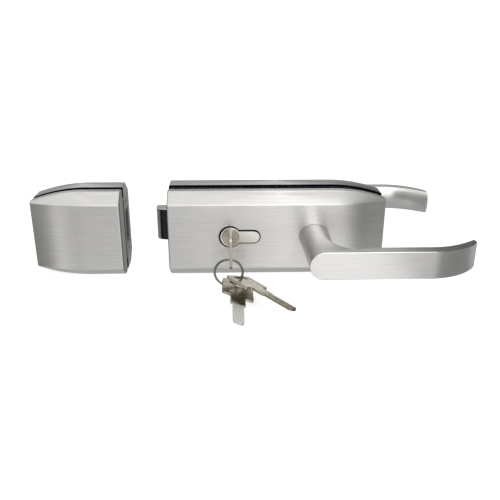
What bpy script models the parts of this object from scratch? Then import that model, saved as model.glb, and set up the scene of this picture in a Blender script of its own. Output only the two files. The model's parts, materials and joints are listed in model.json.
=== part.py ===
"""Lever lock for a glass door with its keeper, euro cylinder and keys.

Metres, +Z up, +Y from the front (lever side seen first) to the rear.
The origin lies on the front clamping pad's glass face, on the lock's centreline.
"""
import bpy
import bmesh
from math import asin, cos, degrees, hypot, pi, radians, sin, sqrt
from mathutils import Matrix, Vector

# Fits between pieces
gap = 0.0003            # between pieces that touch or are seated
running_gap = 0.0004    # round what turns or slides

# Glass slot and the two halves
slot_width = 0.0112     # between the rims of the two covers
pad_thickness = 0.0015  # rubber on the glass
pad_proud = 0.0006      # how far a pad stands out of its rim
front_wall = 0.00575    # straight wall of the front cover, rim to facet
rear_wall = 0.0157      # straight wall of the rear cover
facet_depth = 0.01105   # facet, measured across the thickness
half_height = 0.0374
facet_rise = 0.009      # the same facet, measured across the height
cover_sheet = 0.0015    # cover wall
crease_radius = 0.0012
end_radius = 0.0015     # rounding round the flat end
far_radius = 0.0006     # rounding round the swept end

# Lock, measured along X from the clamping pad's centre
lock_flat_end = -0.1619
lock_length = 0.1837
sweep_length = 0.045    # over which the face falls back to the far end
sweep_share = 0.91      # of the facet that is gone at the far end
key_from_end = 0.0524   # key axis, from the flat end
lever_from_end = 0.0608 # lever axis, from the swept end

# Lever
lever_reach = 0.06185   # cover face to the lever's outer face
neck_wide = 0.0128      # neck radii at the cover
neck_high = 0.0113
bar_half_height = 0.0112
bar_end_half_height = 0.0105
bar_depth = 0.0132
bar_straight = 0.082
bar_bulge = 0.0028       # how far the side towards the door swells past its edges
tip_taper = 0.34         # share of the bar's depth lost at its tip
bend_radius = 0.0488
bend_angle = 55.4
web_radius = 0.024      # fillet between neck and bar
web_taper = 0.24        # how much lower the web is where it meets the bar
shank_radius = 0.0082
spindle_side = 0.008
socket_play = 0.0006
grub_radius = 0.002
lever_turn_deg = 45

# Euro profile cylinder
barrel_radius = 0.0085
tail_half_width = 0.005
tail_end = 0.0245
plug_radius = 0.007
plug_proud = 0.0012
cutout_play = 0.0006
cylinder_recess = 0.0005
cam_y = 0.0137          # middle of the cam
cam_width = 0.007
cam_reach = 0.0145
cam_bridge = 0.0152     # where the bridge between the halves starts
keyway_wide = 0.0028
keyway_high = 0.0092

# Keys
key_thickness = 0.0022
head_width = 0.0262
head_length = 0.0235
shoulder_width = 0.012
shoulder_length = 0.0125
blade_width = 0.0086
blade_length = 0.027
slot_length = 0.015
slot_height = 0.0045
slot_from_end = 0.0045
ring_radius = 0.0112
ring_aside = 0.0018      # the ring hangs this far to the left of the key
ring_wire = 0.0018

# Latch and its case
latch_clear = 0.0038    # between the latch and the posts above and below it
latch_thickness = 0.013
latch_throw = 0.0127
latch_travel = 0.012
latch_head = 0.0266
tail_height = 0.004
tail_thickness = 0.005
tail_bottom = 0.0095
case_floor = 0.003
case_wall = 0.002
case_inset = 0.0087     # top of the covers to the case wall
case_past_lever = 0.025 # lever axis to the case's far wall
case_depth = 0.0207     # floor's glass side to the lid's seat
lid_thickness = 0.0015
faceplate_thickness = 0.002
faceplate_width = 0.020
faceplate_inset = 0.0024 # top of the flat face to the faceplate's end
hub_radius = 0.009
pin_radius = 0.0022

# Clamping
plate_thickness = 0.005
clamp_screw_radius = 0.0025
post_radius = 0.0045

# Keeper
keeper_clear = 0.0255   # latch's nose to the keeper's strike end
keeper_length = 0.0755
keeper_slot = 0.0062    # its halves are drawn together without glass
strike_play = 0.0026     # strike's opening over the latch's height
strike_width = 0.0145
strike_thickness = 0.002

flat_half_height = half_height - facet_rise
key_axis_x = lock_flat_end + key_from_end
lever_axis_x = lock_flat_end + lock_length - lever_from_end
case_half_height = half_height - case_inset
case_right = lever_axis_x + case_past_lever
faceplate_half_height = flat_half_height - faceplate_inset
keeper_flat_end = lock_flat_end - latch_throw - keeper_clear
front_rim = -slot_width / 2
rear_rim = slot_width / 2
glass_plane = slot_width / 2 - pad_proud
front_face = front_rim - front_wall - facet_depth
rear_face = rear_rim + rear_wall + facet_depth


for stale in list(bpy.data.objects):
    bpy.data.objects.remove(stale, do_unlink=True)


def collection(name):
    made = bpy.data.collections.new(name)
    bpy.context.scene.collection.children.link(made)
    return made


parts = collection("glass_door_lock")
cutters = collection("cutters")


def finish(name, colour, roughness, metallic):
    made = bpy.data.materials.new(name)
    made.use_nodes = True
    shader = made.node_tree.nodes["Principled BSDF"]
    shader.inputs["Base Color"].default_value = (*colour, 1)
    shader.inputs["Roughness"].default_value = roughness
    shader.inputs["Metallic"].default_value = metallic
    return made


brushed = finish("brushed_stainless", (0.60, 0.60, 0.58), 0.32, 1.0)
polished = finish("polished_steel", (0.55, 0.56, 0.58), 0.12, 1.0)
nickel = finish("satin_nickel", (0.62, 0.59, 0.53), 0.28, 1.0)
casting = finish("zinc_casting", (0.42, 0.43, 0.44), 0.5, 0.9)
steel = finish("plated_steel", (0.50, 0.50, 0.50), 0.35, 1.0)
rubber = finish("black_rubber", (0.02, 0.02, 0.02), 0.8, 0.0)
nylon = finish("black_nylon", (0.04, 0.04, 0.04), 0.55, 0.0)
wire = finish("spring_steel", (0.35, 0.35, 0.36), 0.3, 1.0)


def add_object(name, mesh, material=None):
    made = bpy.data.objects.new(name, mesh)
    if material:
        mesh.materials.append(material)
        parts.objects.link(made)
    else:
        made.hide_render = True
        made.display_type = "WIRE"
        cutters.objects.link(made)
    return made


def from_bmesh(name, bm, material=None, smooth=False):
    mesh = bpy.data.meshes.new(name)
    bm.to_mesh(mesh)
    bm.free()
    if smooth:
        mesh.shade_smooth()
        mesh.set_sharp_from_angle(angle=radians(32))
    return add_object(name, mesh, material)


def boolean(target, other, operation="DIFFERENCE"):
    """Cuts or joins with another solid, which moves to the cutters."""
    if other.name in parts.objects:
        parts.objects.unlink(other)
        cutters.objects.link(other)
    other.hide_render = True
    other.display_type = "WIRE"
    step = target.modifiers.new(operation.lower(), "BOOLEAN")
    step.operation = operation
    step.solver = "EXACT"
    step.object = other
    return target


def put_origin(made, point):
    """Moves an object's origin to a point on its axis without moving its shape."""
    made.data.transform(Matrix.Translation(-Vector(point)))
    made.location = point
    return made


def block(name, low, high, material=None):
    bm = bmesh.new()
    bmesh.ops.create_cube(bm, size=1)
    low, high = Vector(low), Vector(high)
    bmesh.ops.scale(bm, vec=high - low, verts=bm.verts)
    bmesh.ops.translate(bm, vec=(low + high) / 2, verts=bm.verts)
    return from_bmesh(name, bm, material)


turn_to = {
    "X": Matrix.Rotation(pi / 2, 4, "Y"),
    "Y": Matrix.Rotation(-pi / 2, 4, "X"),
    "Z": Matrix.Identity(4),
}


def rod(name, radius, start, length, axis="Y", material=None, segments=24):
    """A round bar that starts at a point and runs along a row axis."""
    bm = bmesh.new()
    bmesh.ops.create_cone(bm, cap_ends=True, segments=segments, radius1=radius, radius2=radius, depth=length)
    bmesh.ops.translate(bm, vec=(0, 0, length / 2), verts=bm.verts)
    bmesh.ops.transform(bm, matrix=Matrix.Translation(start) @ turn_to[axis], verts=bm.verts)
    return from_bmesh(name, bm, material, smooth=True)


def arc(centre, radius, start_deg, end_deg, steps):
    """Points along an arc, both ends included."""
    turn = [radians(start_deg + (end_deg - start_deg) * k / steps) for k in range(steps + 1)]
    return [(centre[0] + radius * cos(a), centre[1] + radius * sin(a)) for a in turn]


def rounded(corners, steps=4):
    """A closed outline from (x, y, radius) corners, each rounded by its own radius."""
    points = []
    for i, (x, y, radius) in enumerate(corners):
        here = Vector((x, y))
        back = (Vector(corners[i - 1][:2]) - here).normalized()
        on = (Vector(corners[(i + 1) % len(corners)][:2]) - here).normalized()
        if radius <= 0 or abs(back.dot(on)) > 0.9999:
            points.append((x, y))
            continue
        half = back.angle(on) / 2
        centre = here + (back + on).normalized() * radius / sin(half)
        first = here + back * radius / (sin(half) / cos(half)) - centre
        last = here + on * radius / (sin(half) / cos(half)) - centre
        sweep = first.angle_signed(last)
        for k in range(steps + 1):
            spoke = first.copy()
            spoke.rotate(Matrix.Rotation(-sweep * k / steps, 2))
            points.append(tuple(centre + spoke))
    return points


def rectangle(x0, x1, y0, y1, radius=0.0, steps=4):
    return rounded([(x0, y0, radius), (x1, y0, radius), (x1, y1, radius), (x0, y1, radius)], steps)


def stadium(length, height, steps=8):
    """A slot outline centred on zero, its length along X."""
    reach = (length - height) / 2
    return arc((reach, 0), height / 2, -90, 90, steps) + arc((-reach, 0), height / 2, 90, 270, steps)


def euro_outline(play=0.0):
    """The euro profile: its barrel on the key axis, its tail towards +X."""
    radius = barrel_radius + play
    half = tail_half_width + play
    opening = degrees(asin(half / radius))
    barrel = arc((0, 0), radius, opening, 360 - opening, 24)
    tail = arc((tail_end + play - half, 0), half, -90, 90, 6)
    return [(key_axis_x + x, z) for x, z in barrel + tail]


def sheet(name, outline, low, high, plane="XZ", material=None, hole=None):
    """A flat outline with a thickness: a filled 2D curve, made a mesh in world space."""
    curve = bpy.data.curves.new(name, "CURVE")
    curve.dimensions = "2D"
    curve.fill_mode = "BOTH"
    curve.extrude = (high - low) / 2
    for loop in (outline, hole) if hole else (outline,):
        spline = curve.splines.new("POLY")
        spline.points.add(len(loop) - 1)
        for point, (a, b) in zip(spline.points, loop):
            point.co = (a, b, 0, 1)
        spline.use_cyclic_u = True
    guide = bpy.data.objects.new(name + "_outline", curve)
    cutters.objects.link(guide)
    bpy.context.view_layer.update()
    mesh = bpy.data.meshes.new_from_object(guide.evaluated_get(bpy.context.evaluated_depsgraph_get()))
    bpy.data.objects.remove(guide, do_unlink=True)
    bm = bmesh.new()
    bm.from_mesh(mesh)
    bpy.data.meshes.remove(mesh)
    bmesh.ops.remove_doubles(bm, verts=bm.verts, dist=0.000001)
    middle = (low + high) / 2
    place = {
        "XY": Matrix.Translation((0, 0, middle)),
        "XZ": Matrix.Translation((0, middle, 0)) @ Matrix.Rotation(pi / 2, 4, "X"),
        "YZ": Matrix.Translation((middle, 0, 0)) @ Matrix(((0, 0, 1, 0), (1, 0, 0, 0), (0, 1, 0, 0), (0, 0, 0, 1))),
    }[plane]
    bmesh.ops.transform(bm, matrix=place, verts=bm.verts)
    return from_bmesh(name, bm, material)


def loft(name, rings, material=None):
    """A closed solid through rings that have the same count of points."""
    bm = bmesh.new()
    made = [[bm.verts.new(p) for p in ring] for ring in rings]
    for near, far in zip(made, made[1:]):
        for k in range(len(near)):
            bm.faces.new((near[k - 1], near[k], far[k], far[k - 1]))
    bm.faces.new(made[0])
    bm.faces.new(made[-1])
    bmesh.ops.recalc_face_normals(bm, faces=bm.faces)
    return from_bmesh(name, bm, material, smooth=True)


def turned(name, profile, base, axis, material, steps=12):
    """A turned piece: (radius, height) from its top down, about an axis through base."""
    bm = bmesh.new()
    line = [bm.verts.new((radius, 0, height)) for radius, height in profile]
    for upper, lower in zip(line, line[1:]):
        bm.edges.new((upper, lower))
    if profile[0][0] > 0:
        bm.edges.new((line[-1], line[0]))
    made = from_bmesh(name, bm, material)
    made.matrix_world = Matrix.Translation(base) @ axis
    spin = made.modifiers.new("turn", "SCREW")
    spin.steps = spin.render_steps = steps
    spin.use_merge_vertices = True
    spin.merge_threshold = 0.00001
    spin.use_smooth_shade = True
    return made


def screw(name, tip, direction, radius, length, material=steel):
    """A countersunk screw whose head's face is length away from its tip."""
    head = radius * 1.9
    cone = head - radius
    profile = [(0, length), (head, length), (head, length - radius * 0.2), (radius, length - radius * 0.2 - cone)]
    profile += [(radius, radius * 0.4), (radius * 0.65, 0), (0, 0)]
    axis = Vector((0, 0, 1)).rotation_difference(Vector(direction)).to_matrix().to_4x4()
    made = turned(name, profile, tip, axis, material)
    bm = bmesh.new()
    deep = radius * 1.1
    bmesh.ops.create_cone(bm, cap_ends=True, segments=6, radius1=radius * 0.9, radius2=radius * 0.9, depth=deep * 2)
    bmesh.ops.transform(bm, matrix=Matrix.Translation(tip) @ axis @ Matrix.Translation((0, 0, length)), verts=bm.verts)
    return boolean(made, from_bmesh(name + "_socket", bm))


def countersink(name, tip, direction, radius, length):
    """The hole that such a screw sits in, with the seating gap all round."""
    head = radius * 1.9 + gap
    cone = head - radius - gap
    over = 0.002
    profile = [(0, length + over), (head, length + over), (head, length - radius * 0.2 - gap)]
    profile += [(radius + gap, length - radius * 0.2 - gap - cone), (radius + gap, -gap), (0, -gap)]
    axis = Vector((0, 0, 1)).rotation_difference(Vector(direction)).to_matrix().to_4x4()
    made = turned(name, profile, tip, axis, None)
    return made


def fall_back(x, flat_end, length):
    """How far the face has fallen back at x, and the half height of the silhouette there."""
    run = abs(x - flat_end) - (length - sweep_length)
    share = sweep_share * (max(0.0, run) / sweep_length) ** 2
    return facet_depth * share, flat_half_height + (half_height - flat_half_height) * (1 - share)


def cover_ring(x, inset, depths, flat_end, length, rim_shift=0.0, round_corners=True):
    """One closed section of a cover: rim, straight wall, facet, face and back again."""
    rim, wall, side = depths
    fall, silhouette = fall_back(x, flat_end, length)
    facet = facet_depth - fall
    rise = silhouette - flat_half_height
    slant = hypot(facet, rise)
    ny, nz = rise / slant, facet / slant
    level = ny * wall + nz * silhouette - inset
    top = silhouette - inset
    face = wall + facet - inset
    wall_end = (level - nz * top) / ny
    flat = (level - ny * face) / nz
    radius = min(crease_radius, 0.45 * slant) if round_corners else 0.0
    corners = [(rim - rim_shift, -top, 0), (wall_end, -top, radius), (face, -flat, radius)]
    corners += [(face, flat, radius), (wall_end, top, radius), (rim - rim_shift, top, 0)]
    return [Vector((x, side * depth, z)) for depth, z in rounded(corners, 2)]


def cover_stations(flat_end, length, direction):
    """Places along a cover: its rounded flat end, the straight run and the sweep to the far end."""
    stations = []
    for k in range(3):
        turn = radians(45 * k)
        stations.append((flat_end + direction * end_radius * (1 - cos(turn)), end_radius * (1 - sin(turn))))
    start = length - sweep_length
    stations += [(flat_end + direction * (start + sweep_length * k / 8), 0.0) for k in range(8)]
    for k in range(3):
        turn = radians(45 * k)
        stations.append((flat_end + direction * (length - far_radius * (1 - sin(turn))), far_radius * (1 - cos(turn))))
    return stations


def cover(name, depths, flat_end, length, direction):
    """A pressed cover: the outer loft less the same loft inset by the sheet."""
    outer = [cover_ring(x, inset, depths, flat_end, length)
             for x, inset in cover_stations(flat_end, length, direction)]
    shell = loft(name, outer, brushed)
    start, stop = cover_sheet, length - cover_sheet
    sweep = length - sweep_length
    runs = [start, sweep] + [sweep + (stop - sweep) * k / 7 for k in range(1, 8)]
    inner = [cover_ring(flat_end + direction * run, cover_sheet, depths, flat_end, length, 0.002, False)
             for run in runs]
    return boolean(shell, loft(name + "_hollow", inner))


front_depths = (slot_width / 2, slot_width / 2 + front_wall, -1)
rear_depths = (slot_width / 2, slot_width / 2 + rear_wall, 1)
cover_hole = shank_radius + 0.003
latch_middle_y = glass_plane + pad_thickness + gap + case_floor + gap + latch_thickness / 2
floor_y = glass_plane + pad_thickness + gap
floor_top = floor_y + case_floor
lid_y = floor_y + case_depth + gap
plate_y = -(glass_plane + pad_thickness + gap)
case_left = lock_flat_end + faceplate_thickness + gap
left_screw_x = lock_flat_end + 0.0145
right_screw_x = case_right + 0.0085
left_screw_z = case_half_height - 0.0062
right_screw_z = case_half_height - 0.0087
latch_height = 2 * (left_screw_z - post_radius - latch_clear)
strike_height = latch_height + strike_play
clamp_points = [(left_screw_x, left_screw_z), (left_screw_x, -left_screw_z),
                (right_screw_x, right_screw_z), (right_screw_x, -right_screw_z)]


def make_covers():
    front = cover("front_cover", front_depths, lock_flat_end, lock_length, 1)
    rear = cover("rear_cover", rear_depths, lock_flat_end, lock_length, 1)
    deep = 0.004
    for shell, face in ((front, front_face), (rear, rear_face)):
        low, high = face - deep, face + deep
        boolean(shell, sheet(shell.name + "_profile", euro_outline(cutout_play), low, high))
        boolean(shell, rod(shell.name + "_lever_hole", cover_hole, (lever_axis_x, low, 0), high - low, segments=32))
    notch = faceplate_half_height + gap
    boolean(rear, block("faceplate_notch", (lock_flat_end - deep, 0, -notch),
                        (lock_flat_end + faceplate_thickness + gap, rear_rim + faceplate_width + gap, notch)))


def inner_outline(flat_end, length, direction, inset, start, stop):
    """An outline that follows the covers' inside, from start to stop along the body."""
    runs = [start] + [run for run in (length - sweep_length + sweep_length * k / 6 for k in range(7))
                      if start < run < stop] + [stop]
    top = []
    for run in runs:
        x = flat_end + direction * run
        top.append((x, fall_back(x, flat_end, length)[1] - inset))
    return [(x, -z) for x, z in top] + top[::-1]


def make_front_plate():
    inset = cover_sheet + gap
    length = lock_length - cover_sheet - 0.002
    outline = inner_outline(lock_flat_end, lock_length, 1, inset + 0.0009, faceplate_thickness + gap, length)
    plate = sheet("front_clamp_plate", outline, plate_y - plate_thickness, plate_y, material=casting)
    low, high = plate_y - plate_thickness - 0.001, plate_y + 0.001
    boolean(plate, sheet("plate_profile", euro_outline(0.0008), low, high))
    boolean(plate, rod("plate_bore", cover_hole, (lever_axis_x, low, 0), high - low))
    for k, (x, z) in enumerate(clamp_points):
        boolean(plate, countersink("plate_seat_%d" % k, (x, clamp_tip_y, z), (0, -1, 0),
                                   clamp_screw_radius, clamp_length))


clamp_tip_y = floor_top + 0.006
clamp_length = clamp_tip_y - (plate_y - plate_thickness) - 0.0002


def make_pads():
    """Rubber pads between the plates and the glass, cut out round what passes through."""
    inset = cover_sheet + 0.0012
    length = lock_length - cover_sheet - 0.0035
    outline = inner_outline(lock_flat_end, lock_length, 1, inset, faceplate_thickness + 0.001, length)
    for name, low in (("front_pad", -glass_plane - pad_thickness), ("rear_pad", glass_plane)):
        high = low + pad_thickness
        pad = sheet(name, outline, low, high, material=rubber)
        boolean(pad, sheet(name + "_profile", euro_outline(0.0012), low - 0.001, high + 0.001))
        boolean(pad, rod(name + "_bore", cover_hole, (lever_axis_x, low - 0.001, 0), pad_thickness + 0.002))
        for k, (x, z) in enumerate(clamp_points):
            boolean(pad, rod("%s_hole_%d" % (name, k), clamp_screw_radius + 0.0006,
                             (x, low - 0.001, z), pad_thickness + 0.002, segments=12))


def make_case():
    """The casting that clamps the glass from behind and carries the latch and the follower."""
    inset = cover_sheet + gap + 0.0005
    length = lock_length - cover_sheet - 0.002
    outline = inner_outline(lock_flat_end, lock_length, 1, inset, faceplate_thickness + gap, length)
    case = sheet("lock_case", outline, floor_y, floor_top, material=casting)
    top = floor_y + case_depth
    walls = block("case_walls", (case_left, floor_y + 0.001, -case_half_height), (case_right, top, case_half_height))
    boolean(case, walls, "UNION")
    inside = case_wall
    boolean(case, block("case_room", (case_left + inside, floor_top, -case_half_height + inside),
                        (case_right - inside, top + 0.001, case_half_height - inside)))
    for k, (x, z) in enumerate(clamp_points):
        boolean(case, rod("case_post_%d" % k, post_radius, (x, floor_top - 0.001, z), 0.0085, segments=12), "UNION")
        boolean(case, rod("case_thread_%d" % k, clamp_screw_radius + gap, (x, floor_y - 0.001, z),
                          clamp_tip_y + 0.0005 - floor_y + 0.001, segments=12))
    for k, (x, z) in enumerate(lid_points):
        boolean(case, rod("lid_post_%d" % k, 0.0032, (x, floor_top - 0.001, z), top - floor_top + 0.001, segments=12),
                "UNION")
        boolean(case, rod("lid_thread_%d" % k, lid_screw_radius + gap, (x, top - 0.008, z), 0.009, segments=12))
    boolean(case, sheet("case_profile", euro_outline(cutout_play), floor_y - 0.001, floor_top + 0.001))
    boolean(case, rod("case_bearing", journal_radius + running_gap, (lever_axis_x, floor_y - 0.001, 0), 0.005))
    half = latch_thickness / 2 + running_gap
    boolean(case, block("case_mouth", (case_left - 0.001, latch_middle_y - half, -latch_height / 2 - running_gap),
                        (case_left + case_wall + 0.001, latch_middle_y + half, latch_height / 2 + running_gap)))
    for name, z in (("upper", faceplate_screw_z), ("lower", -faceplate_screw_z)):
        boolean(case, rod("case_end_thread_" + name, faceplate_screw_radius + gap,
                          (case_left - 0.001, faceplate_y, z), case_wall + 0.002, "X", segments=12))
    boolean(case, block("spring_rib", (spring_rib_x, floor_top - 0.001, -0.006),
                        (spring_rib_x + 0.002, latch_middle_y + 0.004, 0.006)), "UNION")
    boolean(case, countersink("cylinder_screw_seat", cylinder_screw_tip, (0, 0, -1), cylinder_screw_radius,
                              cylinder_screw_length))


lid_screw_radius = 0.0015
lid_screw_z = case_half_height - 0.0045
lid_points = [(lock_flat_end + 0.030, lid_screw_z), (lock_flat_end + 0.030, -lid_screw_z),
              (lever_axis_x - 0.022, lid_screw_z), (lever_axis_x - 0.022, -lid_screw_z)]
journal_radius = 0.0072
faceplate_screw_radius = 0.0015
faceplate_screw_z = faceplate_half_height - 0.0058
faceplate_y = rear_rim + faceplate_width / 2 + gap
cylinder_screw_radius = 0.0025
bridge_x = (cam_bridge + tail_end) / 2
cylinder_screw_tip = (key_axis_x + bridge_x, cam_y, tail_half_width - 0.002)
cylinder_screw_length = tail_half_width - 0.002 + case_half_height + 0.0013
head_rear_x = lock_flat_end - latch_throw + latch_head
spring_length = 0.020
spring_rib_x = head_rear_x + spring_length + 2 * gap


def make_lid():
    reach = case_half_height - 0.0005
    outline = rectangle(case_left, case_right, -reach, reach, 0.002)
    low, high = lid_y, lid_y + lid_thickness
    lid = sheet("case_lid", outline, low, high, material=steel)
    boolean(lid, sheet("lid_profile", euro_outline(0.0006), low - 0.001, high + 0.001))
    boolean(lid, rod("lid_bearing", journal_radius + running_gap, (lever_axis_x, low - 0.001, 0), 0.005))
    for k, (x, z) in enumerate(lid_points):
        boolean(lid, countersink("lid_seat_%d" % k, (x, high - lid_screw_length, z), (0, 1, 0),
                                 lid_screw_radius, lid_screw_length))
        screw("lid_screw_%d" % (k + 1), (x, high - lid_screw_length, z), (0, 1, 0), lid_screw_radius, lid_screw_length)


lid_screw_length = 0.007


def make_faceplate():
    """The end plate that the latch comes out of, let into the rear cover's end."""
    half = faceplate_half_height
    outline = rectangle(faceplate_y - faceplate_width / 2, faceplate_y + faceplate_width / 2, -half, half, 0.0015)
    low, high = lock_flat_end, lock_flat_end + faceplate_thickness
    plate = sheet("faceplate", outline, low, high, "YZ", brushed)
    mouth = latch_thickness / 2 + running_gap
    boolean(plate, block("faceplate_mouth", (low - 0.001, latch_middle_y - mouth, -latch_height / 2 - running_gap),
                         (high + 0.001, latch_middle_y + mouth, latch_height / 2 + running_gap)))
    for name, z in (("upper", faceplate_screw_z), ("lower", -faceplate_screw_z)):
        tip = (low + 0.0075, faceplate_y, z)
        boolean(plate, countersink("faceplate_seat_" + name, tip, (-1, 0, 0), faceplate_screw_radius, 0.0074))
        screw("faceplate_screw_" + name, tip, (-1, 0, 0), faceplate_screw_radius, 0.0074)


def make_clamp_screws():
    for k, (x, z) in enumerate(clamp_points):
        screw("clamp_screw_%d" % (k + 1), (x, clamp_tip_y, z), (0, -1, 0), clamp_screw_radius, clamp_length)


def make_latch():
    """The bolt: a head with a rounded nose towards the front, and a tail with the follower's slot."""
    tip = lock_flat_end - latch_throw
    front = latch_middle_y - latch_thickness / 2
    rear = latch_middle_y + latch_thickness / 2
    nose_long, nose_deep = 0.009, 0.0065
    nose = [(tip + nose_long * (1 - cos(a)), front + nose_deep * (1 - sin(a)))
            for a in (radians(15 * k) for k in range(7))]
    outline = [(tip, rear - 0.0006), (tip, front + nose_deep)] + nose[1:]
    outline += [(head_rear_x, front), (head_rear_x, rear), (tip + 0.0006, rear)]
    half = latch_height / 2
    bolt = sheet("latch_bolt", outline, -half, half, "XY", polished)
    tail_y = latch_middle_y + latch_thickness / 2 - tail_thickness
    pin_x = lever_axis_x - pin_throw
    tail = block("tail", (head_rear_x - 0.001, tail_y, tail_bottom), (pin_x + 0.001, rear, tail_bottom + tail_height))
    root = block("tail_root", (head_rear_x - 0.0006, tail_y + 0.0004, min(tail_bottom + 0.0004, half - tail_height)),
                 (head_rear_x + 0.003, rear - 0.0004, tail_bottom + tail_height / 2))
    boolean(tail, root, "UNION")
    boolean(bolt, tail, "UNION")
    boolean(bolt, sheet("tail_end", rectangle(pin_x - 0.008, pin_x + 0.009, tail_bottom, tail_bottom + 0.0105, 0.002),
                        tail_y, rear), "UNION")
    slot = pin_radius + 0.0004
    boolean(bolt, sheet("tail_slot", rectangle(pin_x - slot, pin_x + slot, pin_arm_low - pin_radius - 0.0006,
                                               pin_arm + pin_radius + 0.0006, 0.0015), tail_y - 0.001, rear + 0.001))
    boolean(bolt, block("cam_lug", (key_axis_x + 0.002, cam_y, tail_bottom),
                        (key_axis_x + 0.006, tail_y + 0.001, tail_bottom + tail_height)), "UNION")
    put_origin(bolt, (lock_flat_end, latch_middle_y, 0))


half_turn = radians(lever_turn_deg / 2)
pin_arm = latch_travel / (2 * sin(half_turn))
pin_arm_low = pin_arm * cos(half_turn)
pin_throw = pin_arm * sin(half_turn)


def make_follower():
    """The hub on the spindle, whose arm and pin draw the latch back."""
    tail_rear = latch_middle_y + latch_thickness / 2
    hub_low, hub_high = floor_top + running_gap, lid_y - running_gap
    hub = rod("follower", hub_radius, (lever_axis_x, hub_low, 0), hub_high - hub_low, material=casting, segments=28)
    journal_low, journal_high = floor_y + 0.0004, lid_y + lid_thickness - 0.0002
    boolean(hub, rod("journals", journal_radius, (lever_axis_x, journal_low, 0), journal_high - journal_low), "UNION")
    arm_low = tail_rear + 0.0006
    reach = pin_arm
    arm = [(lever_axis_x + x * cos(half_turn) - z * sin(half_turn), x * sin(half_turn) + z * cos(half_turn))
           for x, z in arc((0, reach), 0.0042, 0, 180, 8) + arc((0, 0), 0.007, 180, 360, 8)]
    boolean(hub, sheet("arm", arm, arm_low, hub_high), "UNION")
    pin = rod("arm_pin", pin_radius, (lever_axis_x - pin_throw, tail_rear - tail_thickness - 0.0005, pin_arm_low),
              tail_thickness + 0.002, segments=12)
    boolean(hub, pin, "UNION")
    half = (spindle_side + socket_play) / 2
    boolean(hub, block("follower_square", (lever_axis_x - half, 0, -half), (lever_axis_x + half, 0.040, half)))
    put_origin(hub, (lever_axis_x, 0, 0))


def coil(name, start, axis, radius, turns, length, thickness, lead=0.0, material=wire):
    """A round wire wound about an axis, with a straight end where lead is given."""
    steps = 12
    points = []
    for k in range(int(turns * steps) + 1):
        turn = 2 * pi * k / steps
        points.append((radius * cos(turn), radius * sin(turn), length * k / (turns * steps)))
    if lead:
        first, last = points[0], points[-1]
        points.insert(0, (first[0], first[1] - lead, first[2]))
        points.append((last[0], last[1] + lead, last[2]))
    curve = bpy.data.curves.new(name, "CURVE")
    curve.dimensions = "3D"
    curve.bevel_depth = thickness / 2
    curve.bevel_resolution = 1
    curve.use_fill_caps = True
    spline = curve.splines.new("POLY")
    spline.points.add(len(points) - 1)
    for point, place in zip(spline.points, points):
        point.co = (*place, 1)
    curve.materials.append(material)
    made = bpy.data.objects.new(name, curve)
    parts.objects.link(made)
    made.matrix_world = Matrix.Translation(start) @ turn_to[axis]
    return made


def make_springs():
    coil("latch_spring", (head_rear_x + gap + 0.00045, latch_middle_y, 0), "X", 0.0032, 6,
         spring_length - 0.0009, 0.0009)
    coil("lever_return_spring", (lever_axis_x, floor_top + 0.0012, 0), "Y", hub_radius + gap + 0.0008, 3,
         0.0050, 0.0014, lead=0.010)


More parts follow.
